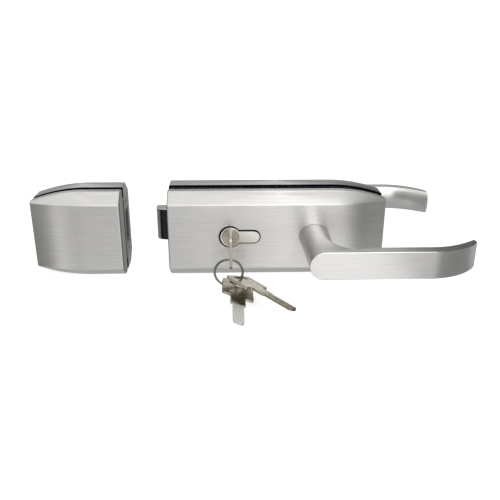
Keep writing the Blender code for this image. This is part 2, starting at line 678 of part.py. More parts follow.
def lever(name, face, side):
    """A cast lever: a tapering neck, a web that sweeps into the bar, and a bar bent back at its tip."""
    def place(x, out, z):
        return Vector((lever_axis_x + x, face + side * out, z))

    def bar_ring(x, out, half, depth):
        """A section across the door: flat outside, a level top and bottom, and a swelling side towards the door."""
        edge, soft = min(0.0006, half * 0.2), min(0.0012, half * 0.3)
        bulge = bar_bulge * half / bar_half_height
        shelf = depth - bulge
        inner = [(shelf - soft * 0.7, half), (shelf - soft * 0.15, half - soft * 0.35)]
        for k in range(7):
            z = (half - soft) * (1 - k / 3)
            inner.append((shelf + bulge * (1 - (z / half) ** 2), z))
        inner += [(shelf - soft * 0.15, -half + soft * 0.35), (shelf - soft * 0.7, -half)]
        outline = [(0, -half + edge), (0, half - edge), (edge, half)] + inner + [(edge, -half)]
        return [place(x, out - inward, z) for inward, z in outline]

    rings = []
    for k in range(5):
        a = radians(10 + 80 * k / 4)
        rings.append(bar_ring(-bar_half_height * cos(a), lever_reach, bar_half_height * sin(a), bar_depth * 0.5))
    for k in range(1, 3):
        rings.append(bar_ring(bar_straight * k / 2, lever_reach, bar_half_height, bar_depth))
    for k in range(1, 8):
        turn = radians(bend_angle * k / 7)
        half = bar_half_height + (bar_end_half_height - bar_half_height) * k / 7
        rings.append(bar_ring(bar_straight + bend_radius * sin(turn), lever_reach - bend_radius * (1 - cos(turn)),
                              half, bar_depth * (1 - tip_taper * (k / 7) ** 5)))
    bar = loft(name, rings, brushed)
    neck_rings = []
    end_out = lever_reach - 0.0005
    web_start = lever_reach - bar_depth - web_radius
    outs = [0.0005, web_start] + [web_start + web_radius * s for s in (0.25, 0.5, 0.7, 0.85, 0.95, 1.0)] + [end_out]
    for out in outs:
        share = out / end_out
        wide = neck_wide + (bar_half_height - 0.00015 - neck_wide) * share
        high = neck_high + (bar_half_height - 0.00015 - neck_high) * share
        left = web_radius - min(web_radius, max(0.0, out - web_start))
        shift = web_radius - sqrt(max(0.0, web_radius ** 2 - (web_radius - left) ** 2))
        low = high * (1 - web_taper * shift / web_radius)
        ring = [place(shift + wide * cos(radians(a)), out, low * sin(radians(a))) for a in range(-90, 91, 18)]
        ring += [place(wide * cos(radians(a)), out, high * sin(radians(a))) for a in range(90, 271, 18)]
        if shift == 0:
            ring = [p + Vector((0.00001 * (i < 11), 0, 0)) for i, p in enumerate(ring)]
        neck_rings.append(ring)
    boolean(bar, loft(name + "_neck", neck_rings), "UNION")
    shank_length = 0.0085 if side < 0 else 0.0032
    start = face + side * (0.001 - 0.0005 - shank_length) if side > 0 else face + side * 0.001
    boolean(bar, rod(name + "_shank", shank_radius, (lever_axis_x, start, 0), shank_length + 0.0005), "UNION")
    half = (spindle_side + socket_play) / 2
    deep = lever_reach - bar_depth - 0.010
    low, high = sorted((face - side * 0.012, face + side * deep))
    boolean(bar, block(name + "_socket", (lever_axis_x - half, low, -half), (lever_axis_x + half, high, half)))
    grub_y = face + side * 0.010
    boolean(bar, rod(name + "_grub_hole", grub_radius + gap, (lever_axis_x, grub_y, -0.016), 0.012, "Z", segments=12))
    put_origin(bar, (lever_axis_x, 0, 0))
    grub = rod(name.replace("lever", "grub_screw"), grub_radius, (lever_axis_x, grub_y, -0.0110),
               0.0110 - spindle_side / 2 - gap, "Z", steel, segments=12)
    boolean(grub, rod(name + "_grub_socket", 0.0011, (lever_axis_x, grub_y, -0.012), 0.003, "Z", segments=6))
    put_origin(grub, (lever_axis_x, 0, 0))
    return deep


def make_levers():
    deep = lever("front_lever", front_face, -1)
    lever("rear_lever", rear_face, 1)
    half = spindle_side / 2
    bar = block("spindle", (lever_axis_x - half, front_face - deep + 0.001, -half),
                (lever_axis_x + half, rear_face + deep - 0.001, half), steel)
    put_origin(bar, (lever_axis_x, 0, 0))


def make_bushes():
    """Nylon bushes that the lever shanks turn in, each with a flange behind its cover."""
    bore = shank_radius + running_gap
    sleeve = cover_hole - gap
    flange = cover_hole + 0.0022
    for name, face, side in (("front_bush", front_face, -1), ("rear_bush", rear_face, 1)):
        axis = turn_to["Y"] if side > 0 else Matrix.Rotation(pi / 2, 4, "X")
        inner = face - side * cover_sheet
        base = (lever_axis_x, inner - side * gap, 0)
        profile = [(bore, cover_sheet - 0.0002), (sleeve, cover_sheet - 0.0002), (sleeve, 0), (flange, 0),
                   (flange, -0.0010), (bore, -0.0010)]
        turned(name, profile, base, axis, nylon, steps=24)


def make_cylinder():
    """The euro cylinder: a body in one piece over its bridge, two plugs and the cam between them."""
    front_end, rear_end = front_face + cylinder_recess, rear_face - cylinder_recess
    body = sheet("cylinder_body", euro_outline(), front_end, rear_end, material=nickel)
    boolean(body, rod("cylinder_bore", plug_radius + 0.0002, (key_axis_x, front_end - 0.001, 0),
                      rear_end - front_end + 0.002, segments=32))
    half = cam_width / 2 + running_gap
    past = barrel_radius + 0.001
    boolean(body, block("cam_room", (key_axis_x - past, cam_y - half, -past),
                        (key_axis_x + cam_bridge, cam_y + half, past)))
    boolean(body, rod("fixing_hole", cylinder_screw_radius + gap, (key_axis_x + bridge_x, cam_y, -past), 2 * past, "Z",
                      segments=12))
    rise = plug_proud + cylinder_recess
    cam_low, cam_high = cam_y - cam_width / 2, cam_y + cam_width / 2
    ends = (("front_plug", front_end - rise, cam_low - gap, front_end - rise - 0.001),
            ("rear_plug", cam_high + gap, rear_end + rise, rear_end + rise + 0.001 - 0.030))
    for name, low, high, slot in ends:
        plug = rod(name, plug_radius, (key_axis_x, low, 0), high - low, material=nickel, segments=32)
        boolean(plug, block(name + "_keyway", (key_axis_x - keyway_wide / 2, slot, -keyway_high / 2),
                            (key_axis_x + keyway_wide / 2, slot + 0.030, keyway_high / 2)))
        put_origin(plug, (key_axis_x, 0, 0))
    cam = rod("cylinder_cam", plug_radius + 0.0008, (key_axis_x, cam_low, 0), cam_width, material=steel, segments=32)
    arm = rectangle(key_axis_x, key_axis_x + cam_reach, -0.004, 0.004, 0.0015)
    boolean(cam, sheet("cam_arm", arm, cam_low, cam_high), "UNION")
    put_origin(cam, (key_axis_x, 0, 0))
    screw("cylinder_screw", cylinder_screw_tip, (0, 0, -1), cylinder_screw_radius, cylinder_screw_length)


def key(name, place, origin):
    """A flat dimple key about its ring slot: +X along the blade, +Y across the head."""
    end = -slot_from_end
    head = end + head_length
    neck = head + shoulder_length
    tip = neck + blade_length
    half, mid, blade = head_width / 2, shoulder_width / 2, blade_width / 2
    corners = [(end, -half, 0.003), (head, -half, 0.002), (head, -mid, 0.001), (neck, -mid, 0.001)]
    corners += [(neck, -blade, 0), (tip, -blade, 0.0025), (tip, blade, 0.0025), (neck, blade, 0)]
    corners += [(neck, mid, 0.001), (head, mid, 0.001), (head, half, 0.002), (end, half, 0.003)]
    thin = key_thickness / 2
    slot = [(y, x) for x, y in stadium(slot_length, slot_height, 6)]
    made = sheet(name, rounded(corners, 3), -thin, thin, "XY", nickel, slot)
    put = Matrix.Translation(-(place.inverted() @ Vector(origin)))
    made.data.transform(put)
    made.matrix_world = place @ put.inverted()
    return made


def axes_to(place, along, across):
    """A placement whose X is along and whose Y lies as near across as it can."""
    x = Vector(along).normalized()
    z = x.cross(Vector(across)).normalized()
    y = z.cross(x)
    turn = Matrix((x, y, z)).transposed().to_4x4()
    return Matrix.Translation(place) @ turn


key_seat_y = front_face + cylinder_recess - plug_proud - cylinder_recess - gap
key_slot_y = key_seat_y - shoulder_length - head_length + slot_from_end
ring_inside = ring_radius - ring_wire / 2
ring_drop = sqrt(ring_inside ** 2 - (ring_aside + key_thickness / 2) ** 2)
ring_centre = (key_axis_x - ring_aside, key_slot_y, -slot_length / 2 + gap - ring_drop)
ring_top_z = ring_centre[2] + sqrt(ring_radius ** 2 - ring_aside ** 2)
# The spare keys hang on the ring, with their tips near the surface that the lock stands on.
spare_a_turn = -67.6
spare_a_slide = 0.0030
spare_a_along = (0.0, -0.999, -0.035)
spare_a_across = (0.927, 0.006, -0.376)
spare_b_turn = -30
spare_b_slide = -0.0014
spare_b_along = (0.661, -0.745, -0.09)
spare_b_across = (0.68, 0.645, -0.347)


def hung_slot(turn, along, across, slide):
    """Where a key's slot lies when the ring bears on the slot's outer side."""
    wire_at = Vector(ring_centre) + ring_radius * Vector((cos(radians(turn)), 0, sin(radians(turn))))
    hung = wire_at + (slot_height / 2 - ring_wire / 2 - 1.4 * gap) * Vector(along).normalized()
    return hung + slide * Vector(across).normalized()



def make_keys():
    place = axes_to((key_axis_x, key_slot_y, 0), (0, 1, 0), (0, 0, 1))
    key("key_in_lock", place, (key_axis_x, key_seat_y, 0))
    bpy.ops.mesh.primitive_torus_add(major_radius=ring_radius, minor_radius=ring_wire / 2, major_segments=32,
                                     minor_segments=6)
    ring = bpy.context.object
    ring.name = "key_ring"
    ring.data.name = "key_ring"
    for linked in ring.users_collection:
        linked.objects.unlink(ring)
    parts.objects.link(ring)
    ring.data.materials.append(steel)
    ring.data.shade_smooth()
    ring.data.transform(Matrix.Translation(ring_centre) @ Matrix.Rotation(pi / 2, 4, "X"))
    put_origin(ring, (key_axis_x, key_slot_y, ring_top_z))
    for name, turn, slide, along, across in (
            ("spare_key_a", spare_a_turn, spare_a_slide, spare_a_along, spare_a_across),
            ("spare_key_b", spare_b_turn, spare_b_slide, spare_b_along, spare_b_across)):
        slot = hung_slot(turn, along, across, slide)
        key(name, axes_to(slot, along, across), slot)


keeper_front_rim = front_face + facet_depth + front_wall
keeper_middle = keeper_front_rim + keeper_slot / 2
keeper_rear_rim = keeper_front_rim + keeper_slot
keeper_rear_face = keeper_rear_rim + rear_wall + facet_depth
strike_y = keeper_rear_rim + gap + faceplate_width / 2


def make_keeper():
    """The part on the fixed pane: the same covers, with a strike that takes the latch."""
    front = cover("keeper_front_cover", (-keeper_front_rim, -keeper_front_rim + front_wall, -1),
                  keeper_flat_end, keeper_length, -1)
    rear = cover("keeper_rear_cover", (keeper_rear_rim, keeper_rear_rim + rear_wall, 1),
                 keeper_flat_end, keeper_length, -1)
    notch = faceplate_half_height + 0.002 + gap
    boolean(rear, block("strike_notch", (keeper_flat_end - strike_thickness - gap, keeper_rear_rim - 0.004, -notch),
                        (keeper_flat_end + 0.004, keeper_rear_rim + faceplate_width + 2 * gap, notch)))
    pad_plane = keeper_slot / 2 - pad_proud
    inset = cover_sheet + gap + 0.0005
    start, stop = cover_sheet + 0.0012, keeper_length - cover_sheet - 0.002
    outline = inner_outline(keeper_flat_end, keeper_length, -1, inset, start, stop)
    pads = inner_outline(keeper_flat_end, keeper_length, -1, inset + 0.0008, start + 0.001, stop - 0.002)
    low = keeper_middle - pad_plane - pad_thickness
    front_pad = sheet("keeper_front_pad", pads, low, low + pad_thickness, material=rubber)
    high = keeper_middle + pad_plane
    rear_pad = sheet("keeper_rear_pad", pads, high, high + pad_thickness, material=rubber)
    plate_outline = inner_outline(keeper_flat_end, keeper_length, -1, inset + 0.0004, start, stop)
    plate = sheet("keeper_front_plate", plate_outline, low - gap - plate_thickness, low - gap, material=casting)
    box_low = high + pad_thickness + gap
    box = sheet("strike_box", outline, box_low, box_low + case_floor, material=casting)
    room = strike_height / 2 + 0.0015
    box_top = strike_y + strike_width / 2 + 0.003
    box_right = keeper_flat_end - strike_thickness - gap
    boolean(box, block("box_walls", (box_right - 0.018, box_low + 0.001, -faceplate_half_height),
                       (box_right, box_top, faceplate_half_height)), "UNION")
    boolean(box, block("box_room", (box_right - 0.016, box_low + case_floor, -room),
                       (box_right + 0.001, box_top - 0.0015, room)))
    tip_y = box_low + case_floor + 0.0045
    length = tip_y - (low - gap - plate_thickness) - 0.0002
    for k, x in enumerate((keeper_flat_end - 0.026, keeper_flat_end - keeper_length + 0.0275)):
        tip = (x, tip_y, 0)
        boolean(plate, countersink("keeper_seat_%d" % k, tip, (0, -1, 0), clamp_screw_radius, length))
        for pad, start_y in ((front_pad, low), (rear_pad, high)):
            boolean(pad, rod("%s_hole_%d" % (pad.name, k), clamp_screw_radius + 0.0006, (x, start_y - 0.001, 0),
                             pad_thickness + 0.002, segments=12))
        boolean(box, rod("keeper_post_%d" % k, post_radius, (x, box_low + 0.001, 0), 0.009, segments=12), "UNION")
        boolean(box, rod("keeper_thread_%d" % k, clamp_screw_radius + gap, (x, box_low - 0.001, 0),
                         tip_y + 0.0005 - box_low + 0.001, segments=12))
        screw("keeper_clamp_screw_%d" % (k + 1), tip, (0, -1, 0), clamp_screw_radius, length)
    return box


def make_strike(box):
    """The strike plate, let into the keeper's rear cover, and its two screws."""
    half = faceplate_half_height + 0.002
    outline = rectangle(strike_y - faceplate_width / 2, strike_y + faceplate_width / 2, -half, half, 0.0015)
    low, high = keeper_flat_end - strike_thickness, keeper_flat_end
    plate = sheet("strike_plate", outline, low, high, "YZ", brushed)
    opening = rectangle(strike_y - strike_width / 2, strike_y + strike_width / 2,
                        -strike_height / 2, strike_height / 2, 0.0015)
    boolean(plate, sheet("strike_opening", opening, low - 0.001, high + 0.001, "YZ"))
    for name, z in (("upper", strike_screw_z), ("lower", -strike_screw_z)):
        tip = (high - 0.0085, strike_y, z)
        boolean(plate, countersink("strike_seat_" + name, tip, (1, 0, 0), strike_screw_radius, 0.0084))
        boolean(box, rod("strike_thread_" + name, strike_screw_radius + gap, (tip[0] - gap, strike_y, z), 0.010, "X",
                         segments=12))
        screw("strike_screw_" + name, tip, (1, 0, 0), strike_screw_radius, 0.0084)


strike_screw_radius = 0.0019
strike_screw_z = faceplate_half_height - 0.0048

make_covers()
make_front_plate()
make_pads()
make_case()
make_lid()
make_faceplate()
make_clamp_screws()
make_latch()
make_follower()
make_springs()
make_levers()
make_bushes()
make_cylinder()
make_keys()
make_strike(make_keeper())

# Everything above is placed from the middle of the glass; the origin lies on the front pad's face.
for made in list(parts.objects) + list(cutters.objects):
    made.matrix_world = Matrix.Translation((0, glass_plane, 0)) @ made.matrix_world
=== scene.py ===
# Lever lock for a glass door, its keeper, cylinder and keys
import json
from math import asin, cos, degrees, hypot, pi, radians, sin, sqrt

import bmesh
import bpy
from mathutils import Matrix, Vector


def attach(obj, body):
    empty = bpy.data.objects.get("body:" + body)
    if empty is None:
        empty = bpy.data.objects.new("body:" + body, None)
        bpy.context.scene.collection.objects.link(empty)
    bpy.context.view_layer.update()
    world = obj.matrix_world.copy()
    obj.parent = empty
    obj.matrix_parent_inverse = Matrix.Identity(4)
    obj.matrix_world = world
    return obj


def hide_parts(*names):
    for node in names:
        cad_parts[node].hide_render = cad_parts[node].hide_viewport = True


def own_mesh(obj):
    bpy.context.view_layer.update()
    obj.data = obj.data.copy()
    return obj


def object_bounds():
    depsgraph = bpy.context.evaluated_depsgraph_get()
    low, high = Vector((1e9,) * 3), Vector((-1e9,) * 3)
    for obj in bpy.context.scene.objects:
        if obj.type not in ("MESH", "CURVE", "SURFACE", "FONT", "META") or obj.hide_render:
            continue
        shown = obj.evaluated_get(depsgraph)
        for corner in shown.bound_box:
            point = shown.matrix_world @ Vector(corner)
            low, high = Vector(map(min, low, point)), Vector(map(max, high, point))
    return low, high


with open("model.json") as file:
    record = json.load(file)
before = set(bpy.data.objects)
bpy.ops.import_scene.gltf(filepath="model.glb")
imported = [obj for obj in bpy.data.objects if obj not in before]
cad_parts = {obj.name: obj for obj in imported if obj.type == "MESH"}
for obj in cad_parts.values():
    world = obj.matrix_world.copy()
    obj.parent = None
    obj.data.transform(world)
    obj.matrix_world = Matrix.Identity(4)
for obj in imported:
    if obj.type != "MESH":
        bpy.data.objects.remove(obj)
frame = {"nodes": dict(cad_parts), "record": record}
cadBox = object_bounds()
nodes = frame["nodes"]
scene = bpy.context.scene
print("frame loaded:", len(nodes), "nodes")


class Wire:
    # A node's output socket that can be added, multiplied and so on
    def __init__(self, maker, socket):
        self.maker, self.socket = maker, socket

    def maths(self, operation, first, second):
        return self.maker.node("ShaderNodeMath", {"operation": operation}, {0: first, 1: second})

    def __add__(self, other): return self.maths("ADD", self, other)
    def __radd__(self, other): return self.maths("ADD", other, self)
    def __sub__(self, other): return self.maths("SUBTRACT", self, other)
    def __rsub__(self, other): return self.maths("SUBTRACT", other, self)
    def __mul__(self, other): return self.maths("MULTIPLY", self, other)
    def __rmul__(self, other): return self.maths("MULTIPLY", other, self)


class Maker:
    # Builds one node tree, for a material, the world or Geometry Nodes
    def __init__(self, tree):
        self.tree = tree
        tree.nodes.clear()

    def feed(self, socket, value):
        if isinstance(value, Wire):
            self.tree.links.new(value.socket, socket)
        else:
            socket.default_value = value

    def node(self, kind, settings=None, feeds=None, out=0):
        made = self.tree.nodes.new(kind)
        for name, value in (settings or {}).items():
            if name == "stops":
                ramp = made.color_ramp
                while len(ramp.elements) < len(value):
                    ramp.elements.new(0.5)
                for stop, (place, shade) in zip(ramp.elements, value):
                    stop.position = place
                    stop.color = (*shade, 1) if isinstance(shade, tuple) else (shade, shade, shade, 1)
            else:
                setattr(made, name, value)
        for name, value in (feeds or {}).items():
            self.feed(made.inputs[name], value)
        return Wire(self, made.outputs[out]) if made.outputs else made

    def several(self, kind, feeds, outs):
        first = self.node(kind, None, feeds)
        return [Wire(self, first.socket.node.outputs[name]) for name in outs]

    def parts(self, vector):
        return self.several("ShaderNodeSeparateXYZ", {0: vector}, "XYZ")

    def place(self):
        # X, Y and Z on the piece
        return self.parts(self.node("ShaderNodeTexCoord", out="Object"))

    def rise(self, value, start, end):
        # From 0 to 1 as the value goes from start to end
        return self.node("ShaderNodeMapRange", None, {0: value, 1: start, 2: end})

    def bump(self, strength, height):
        return self.node("ShaderNodeBump", None, {"Strength": strength, "Distance": grainDepth, "Height": height})

    def spread(self, stretch, follow=None):
        if follow:
            where = self.node("ShaderNodeUVMap", {"uv_map": follow})
        else:
            where = self.node("ShaderNodeTexCoord", out="Object")
        return self.node("ShaderNodeMapping", None, {"Vector": where, "Scale": stretch})

    def noise(self, stretch, detail=2.0, rough=0.5, follow=None):
        return self.node("ShaderNodeTexNoise", None, {"Vector": self.spread(stretch, follow), "Scale": 1.0,
                                                      "Detail": detail, "Roughness": rough})

    def blend(self, factor, first, second, kind="MIX"):
        return self.node("ShaderNodeMix", {"data_type": "RGBA", "blend_type": kind},
                         {0: factor, 6: first, 7: second}, out=2)

    def ramp(self, value, stops):
        return self.node("ShaderNodeValToRGB", {"stops": stops}, {0: value})


def newMaterial(name):
    made = bpy.data.materials.new(name)
    made.use_nodes = True
    return made, Maker(made.node_tree)


def finishSurface(maker, feeds):
    shader = maker.node("ShaderNodeBsdfPrincipled", None, feeds)
    maker.node("ShaderNodeOutputMaterial", None, {"Surface": shader})


def tinted(value, warmth=0.0):
    return (value * (1 + warmth), value, value * (1 - warmth), 1)


def shaded(colour, share):
    return tuple(c * share for c in colour[:3]) + (1,)


grainDepth = 0.0002                     # of a full bump
# The black painted on a cover's rim as shade in the slot, and the Y over which it fades in
slotShadeBlack, rimFade = (0.012, 0.012, 0.018, 1), (0.0001, 0.0003)


steelLook = {"dark": 0.57, "light": 0.73, "warmth": 0.008, "roughness": 0.36, "anisotropic": 0.75,
             "turn": 0.25, "bump": 0.10, "run": 42.0, "across": 2400.0}
# The rear covers take a lighter copy of the same steel, a painted highlight
rearLitLook = dict(steelLook, dark=0.70, light=0.88)
castLook = dict(steelLook, dark=0.66, light=0.78, roughness=0.30, anisotropic=0.7, bump=0.06)


def brushedMetal(name, look, follow=None, shadedRimY=None):
    # The brushing runs along U of the piece's own map, or along X where it has none.
    # Where a cover's rim lies at the Y given, down in the slot by the glass, its edge is painted black as shade.
    made, m = newMaterial(name)
    run, across = look["run"], look["across"]
    fine = (run, across, 1.0) if follow else (run, across, across)
    broad = tuple(v * 0.17 for v in fine)
    streak = m.noise(fine, 3.0, 0.6, follow)
    cloud = m.noise(broad, 2.0, 0.5, follow)
    mottle = m.noise((9.0, 26.0, 26.0), 2.0, 0.5)
    tone = streak * 0.68 + cloud * 0.18 + mottle * 0.14
    tone = m.rise(tone, 0.34, 0.66)
    colour = m.blend(tone, tinted(look["dark"], look["warmth"]), tinted(look["light"], look["warmth"]))
    if shadedRimY is not None:
        edge = m.rise(m.place()[1], shadedRimY + rimFade[0], shadedRimY + rimFade[1])
        colour = m.blend(edge, slotShadeBlack, colour)
    rough = look["roughness"] + (streak - 0.5) * 0.10 + (mottle - 0.5) * 0.05
    finishSurface(m, {"Base Color": colour, "Metallic": 1.0, "Roughness": rough,
                      "Normal": m.bump(look["bump"], streak),
                      "Anisotropic": look["anisotropic"], "Anisotropic Rotation": look["turn"]})
    return made


def plainMetal(name, colour, roughness, grain=0.02):
    made, m = newMaterial(name)
    speck = m.noise((900.0, 900.0, 900.0), 3.0, 0.6)
    wear = m.noise((120.0, 120.0, 120.0), 3.0)
    shade = m.blend(wear, colour, shaded(colour, 0.8))
    finishSurface(m, {"Base Color": shade, "Metallic": 1.0, "Roughness": roughness + (wear - 0.5) * 0.12,
                      "Normal": m.bump(grain, speck)})
    return made


def dullPlastic(name, colour, roughness, grain=0.1, shine=0.3):
    made, m = newMaterial(name)
    speck = m.noise((1500.0, 1500.0, 1500.0), 2.0)
    wear = m.noise((90.0, 90.0, 90.0), 2.0)
    shade = m.blend(wear, colour, shaded(colour, 1.6))
    finishSurface(m, {"Base Color": shade, "Roughness": roughness + (speck - 0.5) * 0.15,
                      "Normal": m.bump(grain, speck), "Specular IOR Level": shine})
    return made


def latchMetal(name, colour, roughness):
    # Polished, with a painted reflection down the flat side next to the lock: a dark band multiplied into the
    # colour where that face mirrors dark surroundings
    made, m = newMaterial(name)
    along = m.rise(m.place()[0], paintedReflectionSide["from"], paintedReflectionSide["to"])
    # The painted reflection: dark across the flat face, lighter towards the tip and the far edge
    band = m.ramp(along, [(0.0, 0.95), (0.13, 1.0), (0.21, 0.6), (0.27, 0.03), (0.84, 0.02), (0.92, 0.12),
                          (1.0, 0.25)])
    mirror = m.ramp(along, [(0.0, 0.3), (0.18, 0.3), (0.27, 1.0)])
    wear = m.noise((60.0, 60.0, 400.0), 2.0)
    shade = m.blend(1.0, colour, band, "MULTIPLY")
    finishSurface(m, {"Base Color": shade, "Metallic": mirror, "Roughness": roughness + (wear - 0.5) * 0.06})
    return made


def keyMetal(name, head, blade, neck, sheen):
    # The blade takes a colour of its own, painted light on it: a painted highlight where it is lighter than the
    # head, painted shade where darker; U of the key's map runs along it
    made, m = newMaterial(name)
    along = m.parts(m.node("ShaderNodeUVMap", {"uv_map": lengthwise}))[0]
    where = m.rise(along, neck - 0.001, neck + 0.0015)
    wear = m.noise((160.0, 160.0, 160.0), 3.0)
    speck = m.noise((1100.0, 1100.0, 1100.0), 3.0, 0.6)
    shade = m.blend(where, head, blade)
    shade = m.blend(wear, shade, m.blend(where, shaded(head, 0.8), shaded(blade, 0.9)))
    finishSurface(m, {"Base Color": shade, "Metallic": 1.0 - where * (1.0 - sheen),
                      "Roughness": 0.27 + (wear - 0.5) * 0.12, "Normal": m.bump(0.02, speck)})
    return made


lengthwise = "lengthwise"               # the map that follows a brushed piece
# The latch's painted reflection, a dark band in its colour, runs between these
paintedReflectionSide = {"from": -0.1747, "to": -0.1587}       # X of the latch's tip, and of where it goes in
keyNeck = 0.0315                        # from a key's slot to where its blade starts
looks = {
    "brushed_stainless": brushedMetal("brushedPlate", steelLook),
    "polished_steel": plainMetal("polishedLatch", (0.52, 0.53, 0.55, 1), 0.14, 0.01),
    "satin_nickel": plainMetal("satinNickel", (0.62, 0.585, 0.50, 1), 0.26, 0.02),
    "zinc_casting": plainMetal("zincCasting", (0.36, 0.37, 0.38, 1), 0.45, 0.15),
    "plated_steel": plainMetal("platedScrew", (0.42, 0.42, 0.42, 1), 0.28, 0.03),
    "black_rubber": dullPlastic("padRubber", (0.004, 0.004, 0.009, 1), 0.75, shine=0.08),
    "black_nylon": dullPlastic("bushNylon", (0.018, 0.018, 0.02, 1), 0.5),
    "spring_steel": plainMetal("springWire", (0.3, 0.3, 0.31, 1), 0.25, 0.02),
}
brushedAlong = brushedMetal("brushedCover", steelLook, lengthwise)
# The blade much lighter than the head: a painted highlight
keyNickel = keyMetal("keyNickel", (0.55, 0.515, 0.43, 1), (0.97, 0.95, 0.88, 1), keyNeck, 0.3)
# The same key with its blade much darker than the head: painted shade
keyShadedBlade = keyMetal("keyShadedBlade", (0.56, 0.525, 0.44, 1), (0.40, 0.35, 0.28, 1), keyNeck, 1.0)
latchPolish = latchMetal("latchFace", (0.60, 0.61, 0.63, 1), 0.13)
# A lighter copy of the latch's metal for its faces turned up, a painted highlight
latchLitTop = plainMetal("latchLitTop", (0.92, 0.93, 0.96, 1), 0.2, 0.01)
brushedCasting = brushedMetal("brushedCasting", castLook, lengthwise)
# The cylinder's metal made lighter than its own, painted light against the shade of its recess
cylinderBrightened = plainMetal("cylinderBrightened", (1.0, 1.0, 0.985, 1), 0.3, 0.02)
darkRing = plainMetal("ringWire", (0.26, 0.25, 0.235, 1), 0.22, 0.02)
slotOf = {entry["node"]: entry["material_slot"] for entry in frame["record"]["subparts"]}
bodyOf = {node: body for body, members in frame["record"]["behaviour"]["bodies"].items() for node in members}
for name, node in nodes.items():
    for holder in node.material_slots:
        holder.material = looks[slotOf[name]]
print("finishes assigned")


def newObject(name, mesh):
    made = bpy.data.objects.new(name, mesh)
    scene.collection.objects.link(made)
    return made


def drop(thing):
    bpy.data.objects.remove(thing, do_unlink=True)


def settle(thing):
    # The object's modifiers become its plain mesh
    mesh = bpy.data.meshes.new_from_object(thing.evaluated_get(bpy.context.evaluated_depsgraph_get()))
    thing.modifiers.clear()
    thing.data = mesh
    return thing


def carve(thing, *others, operation="DIFFERENCE"):
    for other in others:
        step = thing.modifiers.new("carve", "BOOLEAN")
        step.operation, step.solver, step.object = operation, "EXACT", other
    bpy.context.view_layer.update()
    settle(thing)
    for other in others:
        drop(other)
    return thing


def soften(thing, width, segments=2, angle=35):
    edge = thing.modifiers.new("soften", "BEVEL")
    edge.width, edge.segments, edge.angle_limit = width, segments, radians(angle)
    edge.limit_method, edge.miter_outer = "ANGLE", "MITER_ARC"
    edge.use_clamp_overlap = True
    bpy.context.view_layer.update()
    return settle(thing)


def hand(thing, node, material, angle=32):
    # Smooth shading that keeps flats flat, then the piece takes the CAD node's place
    mesh = thing.data
    bm = bmesh.new()
    bm.from_mesh(mesh)
    bmesh.ops.remove_doubles(bm, verts=bm.verts, dist=1e-7)
    bmesh.ops.dissolve_degenerate(bm, edges=bm.edges, dist=1e-7)
    bm.to_mesh(mesh)
    bm.free()
    mesh.shade_smooth()
    mesh.set_sharp_from_angle(angle=radians(angle))
    even = thing.modifiers.new("even", "WEIGHTED_NORMAL")
    even.keep_sharp, even.weight = True, 90
    bpy.context.view_layer.update()
    settle(thing)
    thing.data.materials.clear()
    thing.data.materials.append(material)
    thing.name = thing.data.name = node + "Visual"
    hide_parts(node)
    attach(thing, bodyOf[node])
    return thing


def box(name, low, high):
    bm = bmesh.new()
    bmesh.ops.create_cube(bm, size=1)
    low, high = Vector(low), Vector(high)
    bmesh.ops.scale(bm, vec=high - low, verts=bm.verts)
    bmesh.ops.translate(bm, vec=(low + high) / 2, verts=bm.verts)
    return fromBmesh(name, bm)


def fromBmesh(name, bm):
    mesh = bpy.data.meshes.new(name)
    bm.to_mesh(mesh)
    bm.free()
    return newObject(name, mesh)


turnTo = {"X": Matrix.Rotation(pi / 2, 4, "Y"), "Y": Matrix.Rotation(-pi / 2, 4, "X"), "Z": Matrix.Identity(4)}


def rod(name, radius, start, length, axis="Y", sides=64):
    bm = bmesh.new()
    bmesh.ops.create_cone(bm, cap_ends=True, segments=sides, radius1=radius, radius2=radius, depth=length)
    bmesh.ops.translate(bm, vec=(0, 0, length / 2), verts=bm.verts)
    bmesh.ops.transform(bm, matrix=Matrix.Translation(start) @ turnTo[axis], verts=bm.verts)
    return fromBmesh(name, bm)


def arc(centre, radius, startDeg, endDeg, steps):
    turns = [radians(startDeg + (endDeg - startDeg) * k / steps) for k in range(steps + 1)]
    return [(centre[0] + radius * cos(a), centre[1] + radius * sin(a)) for a in turns]


def roundedOutline(corners, steps=6):
    # A closed outline from (x, y, radius) corners
    points = []
    for i, (x, y, radius) in enumerate(corners):
        here = Vector((x, y))
        back = (Vector(corners[i - 1][:2]) - here).normalized()
        on = (Vector(corners[(i + 1) % len(corners)][:2]) - here).normalized()
        if radius <= 0 or abs(back.dot(on)) > 0.9999:
            points.append((x, y))
            continue
        half = back.angle(on) / 2
        centre = here + (back + on).normalized() * radius / sin(half)
        first = here + back * radius / (sin(half) / cos(half)) - centre
        last = here + on * radius / (sin(half) / cos(half)) - centre
        sweep = first.angle_signed(last)
        for k in range(steps + 1):
            spoke = first.copy()
            spoke.rotate(Matrix.Rotation(-sweep * k / steps, 2))
            points.append(tuple(centre + spoke))
    return points


def slab(name, outline, low, high, place=Matrix.Identity(4)):
    # An outline with a thickness along Z, then put in place
    bm = bmesh.new()
    bottom = [bm.verts.new((x, y, low)) for x, y in outline]
    top = [bm.verts.new((x, y, high)) for x, y in outline]
    for k in range(len(outline)):
        bm.faces.new((bottom[k - 1], bottom[k], top[k], top[k - 1]))
    bm.faces.new(bottom)
    bm.faces.new(top)
    bmesh.ops.recalc_face_normals(bm, faces=bm.faces)
    bmesh.ops.transform(bm, matrix=place, verts=bm.verts)
    return fromBmesh(name, bm)


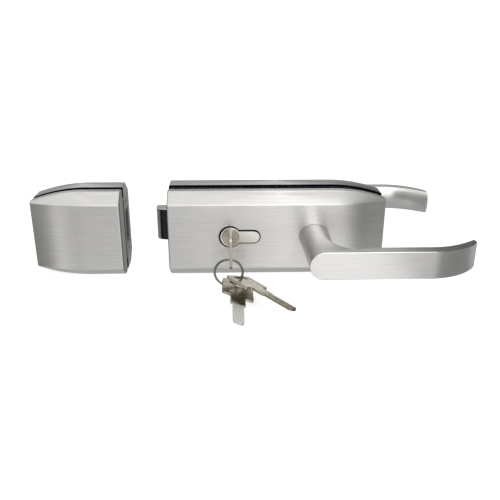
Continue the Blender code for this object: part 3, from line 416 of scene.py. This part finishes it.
def loft(name, rings, wrapped=False):
    # A closed solid through rings, with a map along and round it
    bm = bmesh.new()
    mapped = bm.loops.layers.uv.new(lengthwise)
    made = [[bm.verts.new(p) for p in ring] for ring in rings]
    count = len(rings[0])
    middles = [sum(ring, Vector()) / count for ring in rings]
    run, runs = 0.0, [0.0]
    for near, far in zip(middles, middles[1:]):
        run += (far - near).length
        runs.append(run)
    rounds = []
    for ring in rings:
        girth = [0.0]
        for k in range(1, count + 1):
            girth.append(girth[-1] + (ring[k % count] - ring[k - 1]).length)
        rounds.append(girth)
    for i, (here, there) in enumerate(zip(made, made[1:])):
        for k in range(1, count + 1):
            face = bm.faces.new((here[k - 1], here[k % count], there[k % count], there[k - 1]))
            face.normal_update()
            level = abs(face.normal.z) > 0.72
            spots = ((i, k - 1), (i, k), (i + 1, k), (i + 1, k - 1))
            for corner, (a, b) in zip(face.loops, spots):
                across = corner.vert.co.y if level else corner.vert.co.z
                corner[mapped].uv = (rounds[a][b], runs[a]) if wrapped else (runs[a], across)
    for ring in (made[0], made[-1]):
        face = bm.faces.new(ring)
        for corner in face.loops:
            corner[mapped].uv = (corner.vert.co.y, corner.vert.co.z)
    bmesh.ops.recalc_face_normals(bm, faces=bm.faces)
    return fromBmesh(name, bm)


cover = {"slot": 0.0112, "frontWall": 0.00575, "rearWall": 0.0157, "facetDepth": 0.01105, "facetRise": 0.009,
         "halfHeight": 0.0374, "sheet": 0.0015, "crease": 0.0017, "endRound": 0.0015, "farRound": 0.0006,
         "sweep": 0.045, "sweepShare": 0.91, "flatEnd": -0.1619, "length": 0.1837, "keeperEnd": -0.2001,
         "keeperLength": 0.0755, "keeperSlot": 0.0062, "glassPlane": 0.005, "leverHole": 0.0112, "play": 0.0012,
         "cutoutShift": (-0.0004, 0.0006)}
flatHalf = cover["halfHeight"] - cover["facetRise"]
frontFace = -cover["slot"] / 2 - cover["frontWall"] - cover["facetDepth"]
rearFace = cover["slot"] / 2 + cover["rearWall"] + cover["facetDepth"]
toFrame = cover["glassPlane"]           # from the middle of the glass to the frame's Y
keyAxis, leverAxis = -0.1095, -0.039


def fallBack(x, flatEnd, length):
    run = abs(x - flatEnd) - (length - cover["sweep"])
    share = cover["sweepShare"] * (max(0.0, run) / cover["sweep"]) ** 2
    return cover["facetDepth"] * share, flatHalf + cover["facetRise"] * (1 - share)


def coverRing(x, inset, depths, flatEnd, length, rimShift=0.0, rounding=True):
    rim, wall, side = depths
    fall, silhouette = fallBack(x, flatEnd, length)
    facet, rise = cover["facetDepth"] - fall, silhouette - flatHalf
    slant = hypot(facet, rise)
    ny, nz = rise / slant, facet / slant
    level = ny * wall + nz * silhouette - inset
    top, face = silhouette - inset, wall + facet - inset
    wallEnd = (level - nz * top) / ny
    flat = (level - ny * face) / nz
    radius = min(cover["crease"], 0.45 * slant) if rounding else 0.0
    corners = [(rim - rimShift, -top, 0), (wallEnd, -top, radius), (face, -flat, radius)]
    corners += [(face, flat, radius), (wallEnd, top, radius), (rim - rimShift, top, 0)]
    return [Vector((x, side * depth + toFrame, z)) for depth, z in roundedOutline(corners, 6)]


def coverStations(flatEnd, length, way):
    stations = []
    for k in range(7):
        turn = radians(15 * k)
        stations.append((flatEnd + way * cover["endRound"] * (1 - cos(turn)), cover["endRound"] * (1 - sin(turn))))
    start = length - cover["sweep"]
    stations += [(flatEnd + way * (start + cover["sweep"] * k / 32), 0.0) for k in range(32)]
    for k in range(5):
        turn = radians(22.5 * k)
        run = length - cover["farRound"] * (1 - sin(turn))
        stations.append((flatEnd + way * run, cover["farRound"] * (1 - cos(turn))))
    return stations


def makeCover(node, depths, flatEnd, length, way, cutters, finish):
    outer = loft(node + "Outer", [coverRing(x, inset, depths, flatEnd, length)
                                  for x, inset in coverStations(flatEnd, length, way)])
    sheet, sweepStart = cover["sheet"], length - cover["sweep"]
    runs = [sheet, sweepStart] + [sweepStart + (cover["sweep"] - sheet) * k / 24 for k in range(1, 25)]
    inner = loft(node + "Inner", [coverRing(flatEnd + way * run, sheet, depths, flatEnd, length, 0.002, False)
                                  for run in runs])
    carve(outer, inner, *cutters)
    hand(outer, node, finish, 25)


def euroOutline(play=0.0, barrel=0.0085, tailHalf=0.005, tailEnd=0.0245):
    radius, half = barrel + play, tailHalf + play
    opening = degrees(asin(half / radius))
    points = arc((0, 0), radius, opening, 360 - opening, 48) + arc((tailEnd + play - half, 0), half, -90, 90, 16)
    return [(keyAxis + x, z) for x, z in points]


def standing(y=0.0):
    # Puts an outline drawn in X and Y upright in X and Z
    return Matrix.Translation((0, y + toFrame, 0)) @ Matrix.Rotation(pi / 2, 4, "X")


faceplate = {"thick": 0.002, "wide": 0.020, "inset": 0.0024, "seat": 0.0003, "strikeMore": 0.002}
cutDepth = 0.004
rim = cover["slot"] / 2
keeperRim = -(frontFace + cover["facetDepth"] + cover["frontWall"])
keeperRearRim = frontFace + cover["facetDepth"] + cover["frontWall"] + cover["keeperSlot"]
# On these covers the rim at the slot is painted black, as shade
brushedRear = brushedMetal("brushedRearCover", rearLitLook, lengthwise, rim + toFrame)
brushedKeeper = brushedMetal("brushedKeeperRear", rearLitLook, lengthwise, keeperRearRim + toFrame)
shells = {"front_cover": {"wall": cover["frontWall"], "side": -1, "face": frontFace, "finish": brushedAlong},
          "rear_cover": {"wall": cover["rearWall"], "side": 1, "face": rearFace, "finish": brushedRear}}
for node, shell in shells.items():
    aside, up = cover["cutoutShift"]
    holeAt = Matrix.Translation((aside, 0, up)) @ standing(shell["face"])
    cutters = [slab("cylinderHole", euroOutline(cover["play"]), -cutDepth, cutDepth, holeAt),
               rod("leverHole", cover["leverHole"], (leverAxis, shell["face"] - cutDepth + toFrame, 0),
                   2 * cutDepth)]
    if node == "rear_cover":
        half = flatHalf - faceplate["inset"] + faceplate["seat"]
        cutters.append(box("faceplateNotch", (cover["flatEnd"] - cutDepth, toFrame, -half),
                           (cover["flatEnd"] + faceplate["thick"] + faceplate["seat"],
                            rim + faceplate["wide"] + faceplate["seat"] + toFrame, half)))
    makeCover(node, (rim, rim + shell["wall"], shell["side"]), cover["flatEnd"], cover["length"], 1, cutters,
              shell["finish"])
makeCover("keeper_front_cover", (keeperRim, keeperRim + cover["frontWall"], -1), cover["keeperEnd"],
          cover["keeperLength"], -1, [], brushedAlong)
half = flatHalf - faceplate["inset"] + faceplate["strikeMore"] + faceplate["seat"]
strikeNotch = box("strikeNotch",
                  (cover["keeperEnd"] - faceplate["thick"] - faceplate["seat"],
                   keeperRearRim - cutDepth + toFrame, -half),
                  (cover["keeperEnd"] + cutDepth,
                   keeperRearRim + faceplate["wide"] + 2 * faceplate["seat"] + toFrame, half))
makeCover("keeper_rear_cover", (keeperRearRim, keeperRearRim + cover["rearWall"], 1), cover["keeperEnd"],
          cover["keeperLength"], -1, [strikeNotch], brushedKeeper)
print("covers made")

lever = {"reach": 0.06185, "neckWide": 0.0128, "neckHigh": 0.0113, "half": 0.0112, "endHalf": 0.0105,
         "depth": 0.0132, "bulge": 0.0028, "straight": 0.082, "bendRadius": 0.0488, "bend": 55.4, "tipTaper": 0.34,
         "web": 0.024, "webTaper": 0.24, "edge": 0.0006, "soft": 0.0012, "tip": 0.0012, "sink": 0.0005,
         "neckSlack": 0.00015, "shank": 0.0082, "frontShank": 0.0085, "rearShank": 0.0032, "socket": 0.0086,
         "socketOut": 0.012, "socketLeft": 0.010, "grub": 0.0023, "grubAt": 0.010, "grubDrop": 0.016,
         "grubLong": 0.012}


def makeLever(node, face, side):
    face += toFrame
    reach, half, web = lever["reach"], lever["half"], lever["web"]

    def place(x, out, z):
        return Vector((leverAxis + x, face + side * out, z))

    def barRing(x, out, high, depth, inset=0.0):
        edge, soft = min(lever["edge"], high * 0.2), min(lever["soft"], high * 0.3)
        bulge = lever["bulge"] * high / half
        shelf = depth - bulge
        upper = [(inset + edge * (1 - cos(a)), high - edge * (1 - sin(a)))
                 for a in (radians(22.5 * k) for k in range(5))]
        upper += [(shelf - soft * (1 - sin(a)), high - soft * (1 - cos(a)) * 0.9)
                  for a in (radians(15 * k) for k in range(6))]
        level = upper[-1][1]
        middle = [(shelf + bulge * (1 - (z / high) ** 2) - inset, z)
                  for z in (level * (1 - k / 10) for k in range(1, 20))]
        outline = upper + middle + [(i, -z) for i, z in reversed(upper)]
        return [place(x, out - inward, z) for inward, z in outline]

    rings = []
    for k in range(13):
        a = radians(8 + 82 * k / 12)
        rings.append(barRing(-half * cos(a), reach, half * sin(a), lever["depth"] * 0.5))
    rings += [barRing(lever["straight"] * share, reach, half, lever["depth"] * (0.5 + min(1, 2 * share) / 2))
              for share in (0.25, 0.5, 0.75, 1.0)]
    # The bar bends along its length, and its last steps round off the tip
    ends = [(k / 24, 0.0) for k in range(1, 24)]
    ends += [(1 - 0.04 * (1 - sin(radians(a))), 1 - cos(radians(a))) for a in (15, 40, 65, 90)]
    for share, rounding in ends:
        turn, inset = radians(lever["bend"] * share), lever["tip"] * rounding
        high = half + (lever["endHalf"] - half) * share - inset
        rings.append(barRing(lever["straight"] + lever["bendRadius"] * sin(turn),
                             reach - lever["bendRadius"] * (1 - cos(turn)), high,
                             lever["depth"] * (1 - lever["tipTaper"] * share ** 5), inset * 0.5))
    bar = loft(node + "Bar", rings)
    webStart, endOut, slack = reach - lever["depth"] - web, reach - lever["sink"], lever["neckSlack"]
    outs = [lever["sink"], webStart * 0.5] + [webStart + web * sin(pi / 2 * k / 16) for k in range(17)] + [endOut]
    neckRings = []
    for out in outs:
        share = out / endOut
        wide = lever["neckWide"] + (half - slack - lever["neckWide"]) * share
        high = lever["neckHigh"] + (half - slack - lever["neckHigh"]) * share
        left = web - min(web, max(0.0, out - webStart))
        shift = web - sqrt(max(0.0, web ** 2 - (web - left) ** 2)) + 1e-5
        low = high * (1 - lever["webTaper"] * shift / web)
        ring = [place(shift + wide * cos(radians(a)), out, low * sin(radians(a))) for a in range(-90, 91, 6)]
        ring += [place(wide * cos(radians(a)), out, high * sin(radians(a))) for a in range(90, 271, 6)]
        neckRings.append(ring)
    shankLength = lever["frontShank"] if side < 0 else lever["rearShank"]
    start = face + (lever["sink"] - shankLength if side > 0 else -2 * lever["sink"])
    carve(bar, loft(node + "Neck", neckRings, True),
          rod(node + "Shank", lever["shank"], (leverAxis, start, 0), shankLength + lever["sink"]),
          operation="UNION")
    play = lever["socket"] / 2
    socketEnd = reach - lever["depth"] - lever["socketLeft"]
    low, high = sorted((face - side * lever["socketOut"], face + side * socketEnd))
    carve(bar, box(node + "Socket", (leverAxis - play, low, -play), (leverAxis + play, high, play)),
          rod(node + "Grub", lever["grub"], (leverAxis, face + side * lever["grubAt"], -lever["grubDrop"]),
              lever["grubLong"], "Z", 24))
    hand(bar, node, brushedCasting, 28)


makeLever("front_lever", frontFace, -1)
makeLever("rear_lever", rearFace, 1)
print("levers made")


def treeOf(name, inputs):
    # A Geometry Nodes tree with named inputs: (name, kind, value)
    tree = bpy.data.node_groups.new(name, "GeometryNodeTree")
    for label, kind, value in inputs:
        tree.interface.new_socket(label, in_out="INPUT", socket_type=kind).default_value = value
    tree.interface.new_socket("Geometry", in_out="OUTPUT", socket_type="NodeSocketGeometry")
    maker = Maker(tree)
    given = tree.nodes.new("NodeGroupInput")
    return tree, maker, {label: Wire(maker, given.outputs[label]) for label, _, _ in inputs}


def closeTree(tree, maker, geometry, material):
    whole = maker.node("GeometryNodeRealizeInstances", None, {0: geometry})
    finished = maker.node("GeometryNodeSetMaterial", None, {"Geometry": whole, "Material": material})
    last = tree.nodes.new("NodeGroupOutput")
    maker.feed(last.inputs["Geometry"], finished)


def growTree(name, tree, values):
    # Runs a tree and keeps its result as a plain mesh
    thing = newObject(name, bpy.data.meshes.new(name))
    grown = thing.modifiers.new("grow", "NODES")
    grown.node_group = tree
    for item in tree.interface.items_tree:
        if item.in_out == "INPUT" and item.name in values:
            grown[item.identifier] = values[item.name]
    bpy.context.view_layer.update()
    settle(thing)
    thing.data.materials.clear()
    return thing


def trackTree():
    # Overlapping pits set left and right in turn, as a milled dimple track
    number, whole = "NodeSocketFloat", "NodeSocketInt"
    inputs = [("Count", whole, 9), ("Spacing", number, 0.003), ("Sway", number, 0.0006), ("Radius", number, 0.001),
              ("Depth", number, 0.001), ("Smallest", number, 0.7), ("Seed", whole, 4)]
    tree, m, given = treeOf("dimpleTrack", inputs)
    step = m.node("ShaderNodeCombineXYZ", None, {0: given["Spacing"]})
    row = m.node("GeometryNodeMeshLine", {"mode": "OFFSET"}, {"Count": given["Count"], "Offset": step})
    odd = m.node("ShaderNodeMath", {"operation": "MODULO"}, {0: m.node("GeometryNodeInputIndex"), 1: 2.0})
    aside = m.node("ShaderNodeCombineXYZ", None, {1: (odd - 0.5) * 2.0 * given["Sway"]})
    row = m.node("GeometryNodeSetPosition", None, {"Geometry": row, "Offset": aside})
    pit = m.node("GeometryNodeMeshCone", None,
                 {"Vertices": 20, "Radius Top": given["Radius"], "Radius Bottom": 0.0, "Depth": given["Depth"]})
    size = m.node("FunctionNodeRandomValue", {"data_type": "FLOAT"},
                  {2: given["Smallest"], 3: 1.0, 8: given["Seed"]}, out=1)
    pits = m.node("GeometryNodeInstanceOnPoints", None, {"Points": row, "Instance": pit, "Scale": size})
    closeTree(tree, m, pits, looks["satin_nickel"])
    return tree


def coilTree():
    # A flat wire wound round, with its ends side by side
    number = "NodeSocketFloat"
    inputs = [("Turns", number, 2.0), ("Radius", number, 0.011), ("Rise", number, 0.001), ("Wire", number, 0.0005),
              ("Flatness", number, 0.5)]
    tree, m, given = treeOf("ringCoil", inputs)
    path = m.node("GeometryNodeCurveSpiral", None,
                  {"Resolution": 96, "Rotations": given["Turns"], "Start Radius": given["Radius"],
                   "End Radius": given["Radius"], "Height": given["Rise"]})
    section = m.node("GeometryNodeCurvePrimitiveCircle", None, {"Resolution": 20, "Radius": given["Wire"]})
    flat = m.node("ShaderNodeCombineXYZ", None, {0: 1.0, 1: given["Flatness"], 2: 1.0})
    section = m.node("GeometryNodeTransform", None, {"Geometry": section, "Scale": flat})
    tube = m.node("GeometryNodeCurveToMesh", None, {"Curve": path, "Profile Curve": section, "Fill Caps": True})
    closeTree(tree, m, tube, darkRing)
    return tree


key = {"thick": 0.0022, "headWidth": 0.0262, "headLength": 0.0235, "shoulderWidth": 0.012,
       "shoulderLength": 0.0125, "bladeWidth": 0.0086, "bladeLength": 0.027, "slotLength": 0.015,
       "slotHeight": 0.0045, "slotFromEnd": 0.0045, "softness": 0.00022, "step": 0.00022, "panelFrom": 0.0065,
       "panelInset": 0.0017, "panelDeep": 0.00014, "ridge": 0.0004, "endRound": 0.003, "headRound": 0.002,
       "shoulderRound": 0.001, "tipRound": 0.0025, "trackFrom": 0.0015, "trackAside": 0.0022, "trackSunk": 0.45,
       "notchFrom": 0.0045, "notchBite": 0.0003}
track = {"Count": 10, "Spacing": 0.0025, "Sway": 0.0006, "Radius": 0.00105, "Depth": 0.0013, "Smallest": 0.85,
         "Seed": 4}
notches = {"Count": 5, "Spacing": 0.0045, "Sway": 0.0, "Radius": 0.0008, "Depth": 0.0010, "Smallest": 0.8,
           "Seed": 9}
ring = {"radius": 0.0112, "wire": 0.0018, "aside": 0.0018}
slotY = frontFace - 0.0015 - key["shoulderLength"] - key["headLength"] + key["slotFromEnd"]
inside = ring["radius"] - ring["wire"] / 2
ringCentre = (keyAxis - ring["aside"], slotY,
              -key["slotLength"] / 2 + 0.0003 - sqrt(inside ** 2 - (ring["aside"] + key["thick"] / 2) ** 2))
spares = {
    "spare_key_a": {"turn": -67.6, "slide": 0.0030, "along": (0.0, -0.999, -0.035),
                    "across": (0.927, 0.006, -0.376)},
    "spare_key_b": {"turn": -30, "slide": -0.0014, "along": (0.661, -0.745, -0.09),
                    "across": (0.68, 0.645, -0.347)},
}


def axesTo(place, along, across):
    x = Vector(along).normalized()
    z = x.cross(Vector(across)).normalized()
    return Matrix.Translation(place) @ Matrix((x, z.cross(x), z)).transposed().to_4x4()


def makeKey(node, place, tree):
    end = -key["slotFromEnd"]
    head = end + key["headLength"]
    neck = head + key["shoulderLength"]
    tip = neck + key["bladeLength"]
    half, mid = key["headWidth"] / 2, key["shoulderWidth"] / 2
    blade, thin = key["bladeWidth"] / 2, key["thick"] / 2
    lower = [(end, half, key["endRound"]), (head, half, key["headRound"]), (head, mid, key["shoulderRound"]),
             (neck, mid, key["shoulderRound"]), (neck, blade, 0), (tip, blade, key["tipRound"])]
    corners = [(x, -y, r) for x, y, r in lower] + lower[::-1]
    made = slab(node + "Blank", roundedOutline(corners), -thin, thin)
    long, wide = key["slotLength"], key["slotHeight"]
    reach = (long - wide) / 2
    opening = arc((0, reach), wide / 2, 0, 180, 12) + arc((0, -reach), wide / 2, 180, 360, 12)
    carve(made, slab("slot", opening, -2 * thin, 2 * thin))
    soften(made, key["softness"])
    cutters = []
    for side in (-1, 1):
        low, high = sorted((side * (thin - key["step"]), side * 2 * thin))
        cutters.append(box("step", (neck - 0.002, -0.02, low), (tip + 0.001, -key["ridge"], high)))
        inset = key["panelInset"]
        low, high = sorted((side * (thin - key["panelDeep"]), side * 2 * thin))
        begin, bend = end + key["panelFrom"], key["headRound"]
        panel = [(begin, -half + inset, bend), (head - inset, -half + inset, bend),
                 (head - inset, half - inset, bend), (begin, half - inset, bend)]
        cutters.append(slab("panel", roundedOutline(panel), low, high))
        row = growTree("track", tree, track)
        flip = Matrix.Identity(4) if side > 0 else Matrix.Diagonal((1, 1, -1, 1))
        at = (neck + key["trackFrom"], -key["trackAside"], thin - track["Depth"] * key["trackSunk"])
        row.data.transform(flip @ Matrix.Translation(at))
        if side < 0:
            row.data.flip_normals()
        cutters.append(row)
        row = growTree("notches", tree, notches)
        at = (neck + key["notchFrom"], 0, blade - key["notchBite"])
        row.data.transform(Matrix.Rotation(-side * pi / 2, 4, "X") @ Matrix.Translation(at))
        cutters.append(row)
    carve(made, *cutters)
    bm = bmesh.new()
    bm.from_mesh(made.data)
    mapped = bm.loops.layers.uv.get(lengthwise) or bm.loops.layers.uv.new(lengthwise)
    for face in bm.faces:
        for corner in face.loops:
            corner[mapped].uv = corner.vert.co.xy
    bmesh.ops.transform(bm, matrix=place, verts=bm.verts)
    bm.to_mesh(made.data)
    bm.free()
    # Spare B takes the copy whose blade is painted dark as shade
    hand(made, node, keyShadedBlade if node == "spare_key_b" else keyNickel, 30)


pitTree = trackTree()
toWorld = Matrix.Translation((0, toFrame, 0))
makeKey("key_in_lock", toWorld @ axesTo((keyAxis, slotY, 0), (0, 1, 0), (0, 0, 1)), pitTree)
for node, hung in spares.items():
    turn = radians(hung["turn"])
    wireAt = Vector(ringCentre) + ring["radius"] * Vector((cos(turn), 0, sin(turn)))
    seat = key["slotHeight"] / 2 - ring["wire"] / 2 - 0.00042
    along, across = Vector(hung["along"]).normalized(), Vector(hung["across"]).normalized()
    slotAt = wireAt + seat * along + hung["slide"] * across
    makeKey(node, toWorld @ axesTo(slotAt, hung["along"], hung["across"]), pitTree)
coil = {"Turns": 1.96, "Radius": ring["radius"], "Rise": 0.0009, "Wire": 0.0009, "Flatness": 0.46}
splitRing = growTree("splitRing", coilTree(), coil)
splitRing.data.transform(toWorld @ Matrix.Translation(Vector(ringCentre)) @ Matrix.Rotation(radians(140), 4, "Y")
                         @ Matrix.Rotation(pi / 2, 4, "X") @ Matrix.Translation((0, 0, -coil["Rise"] / 2)))
bm = bmesh.new()
bm.from_mesh(splitRing.data)
bmesh.ops.recalc_face_normals(bm, faces=bm.faces)
bm.to_mesh(splitRing.data)
bm.free()
hand(splitRing, "key_ring", darkRing, 50)
print("keys and ring made")

latch = {"throw": 0.0127, "head": 0.0266, "thick": 0.013, "height": 0.0284, "nose": 0.009, "noseDeep": 0.0065,
         "middleY": 0.0166}


def makeLatch():
    # The head is drawn from above and the slim tail is kept from the CAD solid
    tip, half = cover["flatEnd"] - latch["throw"], latch["height"] / 2
    front, rear = latch["middleY"] - latch["thick"] / 2, latch["middleY"] + latch["thick"] / 2
    right = tip + latch["head"]
    nose = [(tip + latch["nose"] * (1 - cos(a)), front + latch["noseDeep"] * (1 - sin(a)))
            for a in (radians(4.5 * k) for k in range(21))]
    outline = [(tip, rear - 0.0006)] + nose + [(right, front), (right, rear), (tip + 0.0006, rear)]
    head = soften(slab("latchHead", outline, -half, half, toWorld), 0.0004, 3, 40)
    tail = softCopy("latch_bolt", None)
    behind = box("tailOnly", (right - 0.0004, -1, -1), (1, 1, 1))
    carve(tail, behind, operation="INTERSECT")
    carve(head, tail, operation="UNION")
    hand(head, "latch_bolt", latchPolish, 28)
    # The faces turned up take the lighter copy: a painted highlight on the latch's top
    head.data.materials.append(latchLitTop)
    for face in head.data.polygons:
        if face.normal.z > 0.7:
            face.material_index = 1


def softCopy(node, width, angle=35):
    # A merged copy of a CAD solid, with its edges eased where a width is given
    mesh = nodes[node].data.copy()
    bm = bmesh.new()
    bm.from_mesh(mesh)
    bmesh.ops.remove_doubles(bm, verts=bm.verts, dist=1e-6)
    if width:
        bmesh.ops.dissolve_limit(bm, angle_limit=radians(0.5), verts=bm.verts, edges=bm.edges)
    bm.to_mesh(mesh)
    bm.free()
    made = newObject(node + "Copy", mesh)
    return soften(made, width, 2, angle) if width else made


makeLatch()
eased = {"faceplate": 0.00025, "strike_plate": 0.00025, "cylinder_body": 0.0003, "front_plug": 0.0004,
         "rear_plug": 0.0004}
eased.update({holder + "_screw_" + end: 0.0001
              for holder in ("faceplate", "strike") for end in ("upper", "lower")})
for node, width in eased.items():
    hand(softCopy(node, width), node, cylinderBrightened if node == "cylinder_body" else looks[slotOf[node]])
# The latch's spring, which in the lock closes up between its head and the case as the lever turns, is a copy of
# the CAD solid with a mesh of its own
spring = hand(softCopy("latch_spring", None), "latch_spring", looks["spring_steel"], 60)
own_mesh(spring)
print("latch, spring, plates and cylinder made")

view = {"place": (-0.110, -0.504, 0.1894), "pitch": 22.42, "yaw": -1.98, "roll": 0.24, "lens": 44.87}
light = {"diffuse": 0.55, "mirrored": 2.2, "patch": 0.48, "endPatch": 0.12, "panel": 0.03, "floor": 0.80,
         "lift": 0.72}
# Shades of the studio that the metal mirrors, as (place, shade): the first four from left to right,
# the last two from the ground up
studio = {
    "low": [(0.0, 0.14), (0.10, 0.15), (0.14, 0.18), (0.17, 0.60), (0.20, 1.0), (0.27, 1.0), (0.30, 0.86),
            (0.33, 0.78), (0.36, 0.88), (0.39, 0.96), (0.415, 0.96), (0.44, 0.56), (0.475, 0.55), (0.50, 0.66),
            (0.52, 0.76), (0.545, 0.84), (0.57, 1.0), (0.715, 1.0), (0.74, 0.40), (0.84, 0.40), (0.92, 0.32),
            (1.0, 0.24)],
    "top": [(0.0, 0.30), (0.30, 0.55), (0.42, 0.66), (0.457, 0.92), (0.50, 0.98), (0.655, 1.0), (0.69, 0.10),
            (0.80, 0.08), (1.0, 0.20)],
    "roof": [(0.0, 0.18), (0.16, 0.20), (0.20, 0.28), (0.23, 0.52), (0.27, 0.56), (0.32, 0.55), (0.36, 0.47),
             (0.40, 0.42), (0.43, 0.41), (0.457, 0.46), (0.48, 0.58), (0.51, 0.60), (0.54, 0.62), (0.56, 0.84),
             (0.60, 1.0), (0.645, 1.0), (0.67, 0.03), (0.80, 0.03), (0.85, 0.30), (1.0, 0.22)],
    "back": [(0.0, 0.70), (0.45, 0.82), (0.55, 0.80), (0.60, 0.76), (0.65, 0.58), (0.69, 0.16), (0.80, 0.12),
             (1.0, 0.30)],
    "front": [(0.0, 0.38), (0.20, 0.40), (0.285, 0.46), (0.315, 0.60), (0.42, 0.64), (0.52, 0.78), (0.62, 1.0),
              (0.88, 1.0), (0.955, 0.95), (1.0, 0.95)],
    "rear": [(0.0, 0.30), (0.12, 0.30), (0.40, 0.20), (0.70, 0.20), (0.84, 0.38), (0.94, 0.82), (1.0, 0.95)],
}
lamps = {
    "overheadBox": {"place": (-0.10, -0.15, 0.95), "aim": (-0.10, 0, 0), "size": (1.1, 0.7), "power": 0.9},
    "frontBox": {"place": (-0.55, -1.0, 0.55), "aim": (-0.10, 0, 0), "size": (0.6, 0.6), "power": 0.6},
    "rearBox": {"place": (0.5, 0.9, 0.7), "aim": (-0.05, 0, 0), "size": (0.6, 0.5), "power": 0.5},
}


def makeCamera():
    data = bpy.data.cameras.new("camera")
    data.lens, data.sensor_width, data.clip_start = view["lens"], 36, 0.01
    made = bpy.data.objects.new("camera", data)
    scene.collection.objects.link(made)
    turn = (Matrix.Rotation(radians(view["yaw"]), 4, "Z") @ Matrix.Rotation(radians(90 - view["pitch"]), 4, "X")
            @ Matrix.Rotation(radians(view["roll"]), 4, "Z"))
    made.matrix_world = Matrix.Translation(view["place"]) @ turn
    scene.camera = made


def makeWorld():
    # White to the camera; what the metal mirrors is a studio with pale and dark panels
    world = bpy.data.worlds.new("studio")
    world.use_nodes = True
    scene.world = world
    m = Maker(world.node_tree)
    rays = ["Is Camera Ray", "Is Glossy Ray", "Is Transmission Ray"]
    camera, glossy, through = m.several("ShaderNodeLightPath", None, rays)
    side, deep, high = (part * 0.5 + 0.5 for part in m.parts(m.node("ShaderNodeTexCoord", out="Generated")))

    def across(stops):
        # The dark shades are a little warm
        return m.ramp(side, [(place, (v * 1.015, v * 1.01, v * min(1.0, 0.90 + 0.14 * v)))
                             for place, v in stops])

    behind = m.ramp(deep, [(0.46, 0.0), (0.62, 1.0)])
    ahead = m.blend(m.ramp(high, [(0.46, 0.0), (0.54, 1.0)]), across(studio["low"]), across(studio["top"]))
    sideways = m.blend(behind, ahead, across(studio["back"]))
    sideways = m.blend(m.ramp(high, [(0.90, 0.0), (0.96, 1.0)]), sideways, across(studio["roof"]))
    # A dark screen to the left, seen in the lever's neck
    screen = m.ramp(side, [(0.18, 0.0), (0.22, 1.0), (0.44, 1.0), (0.475, 0.0)])
    screen = screen * m.ramp(high, [(0.35, 0.0), (0.40, 1.0), (0.64, 1.0), (0.72, 0.0)])
    sideways = m.blend(screen * (1.0 - behind), sideways, tinted(light["panel"]))
    height = m.blend(behind, m.ramp(high, studio["front"]), m.ramp(high, studio["rear"]))
    tint = m.blend(glossy, tinted(light["diffuse"]), m.blend(1.0, sideways, height, "MULTIPLY"))
    tint = m.blend(camera.maths("MAXIMUM", camera, through), tint, (1, 1, 1, 1))
    strength = glossy * (light["mirrored"] - 1) + 1.0
    shown = m.node("ShaderNodeBackground", None, {"Color": tint, "Strength": strength})
    m.node("ShaderNodeOutputWorld", None, {"Surface": shown})


def softBox(name, place, aim, size, power):
    data = bpy.data.lights.new(name, "AREA")
    data.shape, data.energy = "RECTANGLE", power
    data.size, data.size_y = size
    made = bpy.data.objects.new(name, data)
    made.visible_glossy = False
    scene.collection.objects.link(made)
    look = (Vector(aim) - Vector(place)).normalized()
    made.matrix_world = Matrix.Translation(place) @ look.to_track_quat("-Z", "Y").to_matrix().to_4x4()


def makeStage():
    half, low = 30.0, cadBox[0][2] - 0.0001
    corners = [(-half, -half, low), (half, -half, low), (half, half, low), (-half, half, low)]
    mesh = bpy.data.meshes.new("floor")
    mesh.from_pydata(corners, [], [(0, 1, 2, 3)])
    floor = newObject("floor", mesh)
    made, m = newMaterial("paleFloor")
    camera, glossy = m.several("ShaderNodeLightPath", None, ["Is Camera Ray", "Is Glossy Ray"])
    matt = m.node("ShaderNodeBsdfDiffuse", None, {"Color": tinted(light["floor"])})
    glow = m.node("ShaderNodeEmission", None, {"Color": (1, 1, 1, 1), "Strength": camera * light["lift"]})
    shown = m.node("ShaderNodeAddShader", None, {0: matt, 1: glow})
    # The metal sees the studio below the floor's line, as on a wide white table; beside the lock the table is
    # painted dim, a painted shadow of the lock seen in reflections, and a darker patch in front of its far end
    # dims what the lever's end mirrors
    x, y = m.place()[:2]
    beside = m.rise(x, 0.0, 0.05) * m.rise(y, -0.07, -0.03)
    ending = m.ramp(m.rise(x, -0.02, 0.10), [(0.0, 0.0), (0.40, 0.11), (0.50, 0.20), (0.60, 0.60), (0.72, 0.72)])
    ending = ending * m.rise(y, -0.40, -0.30) * (1.0 - m.rise(y, -0.090, -0.080))
    patches = m.blend(ending, tinted(light["patch"]), tinted(light["endPatch"]))
    shade = m.node("ShaderNodeEmission", None, {"Color": patches})
    either = beside.maths("MAXIMUM", beside, ending)
    mirrored = m.node("ShaderNodeMixShader", None, {0: either, 1: m.node("ShaderNodeBsdfTransparent"), 2: shade})
    whole = m.node("ShaderNodeMixShader", None, {0: glossy, 1: shown, 2: mirrored})
    m.node("ShaderNodeOutputMaterial", None, {"Surface": whole})
    mesh.materials.append(made)
    for name, lamp in lamps.items():
        softBox(name, **lamp)


makeCamera()
makeWorld()
makeStage()
scene.view_settings.view_transform = "Standard"
print("camera, light and stage made")
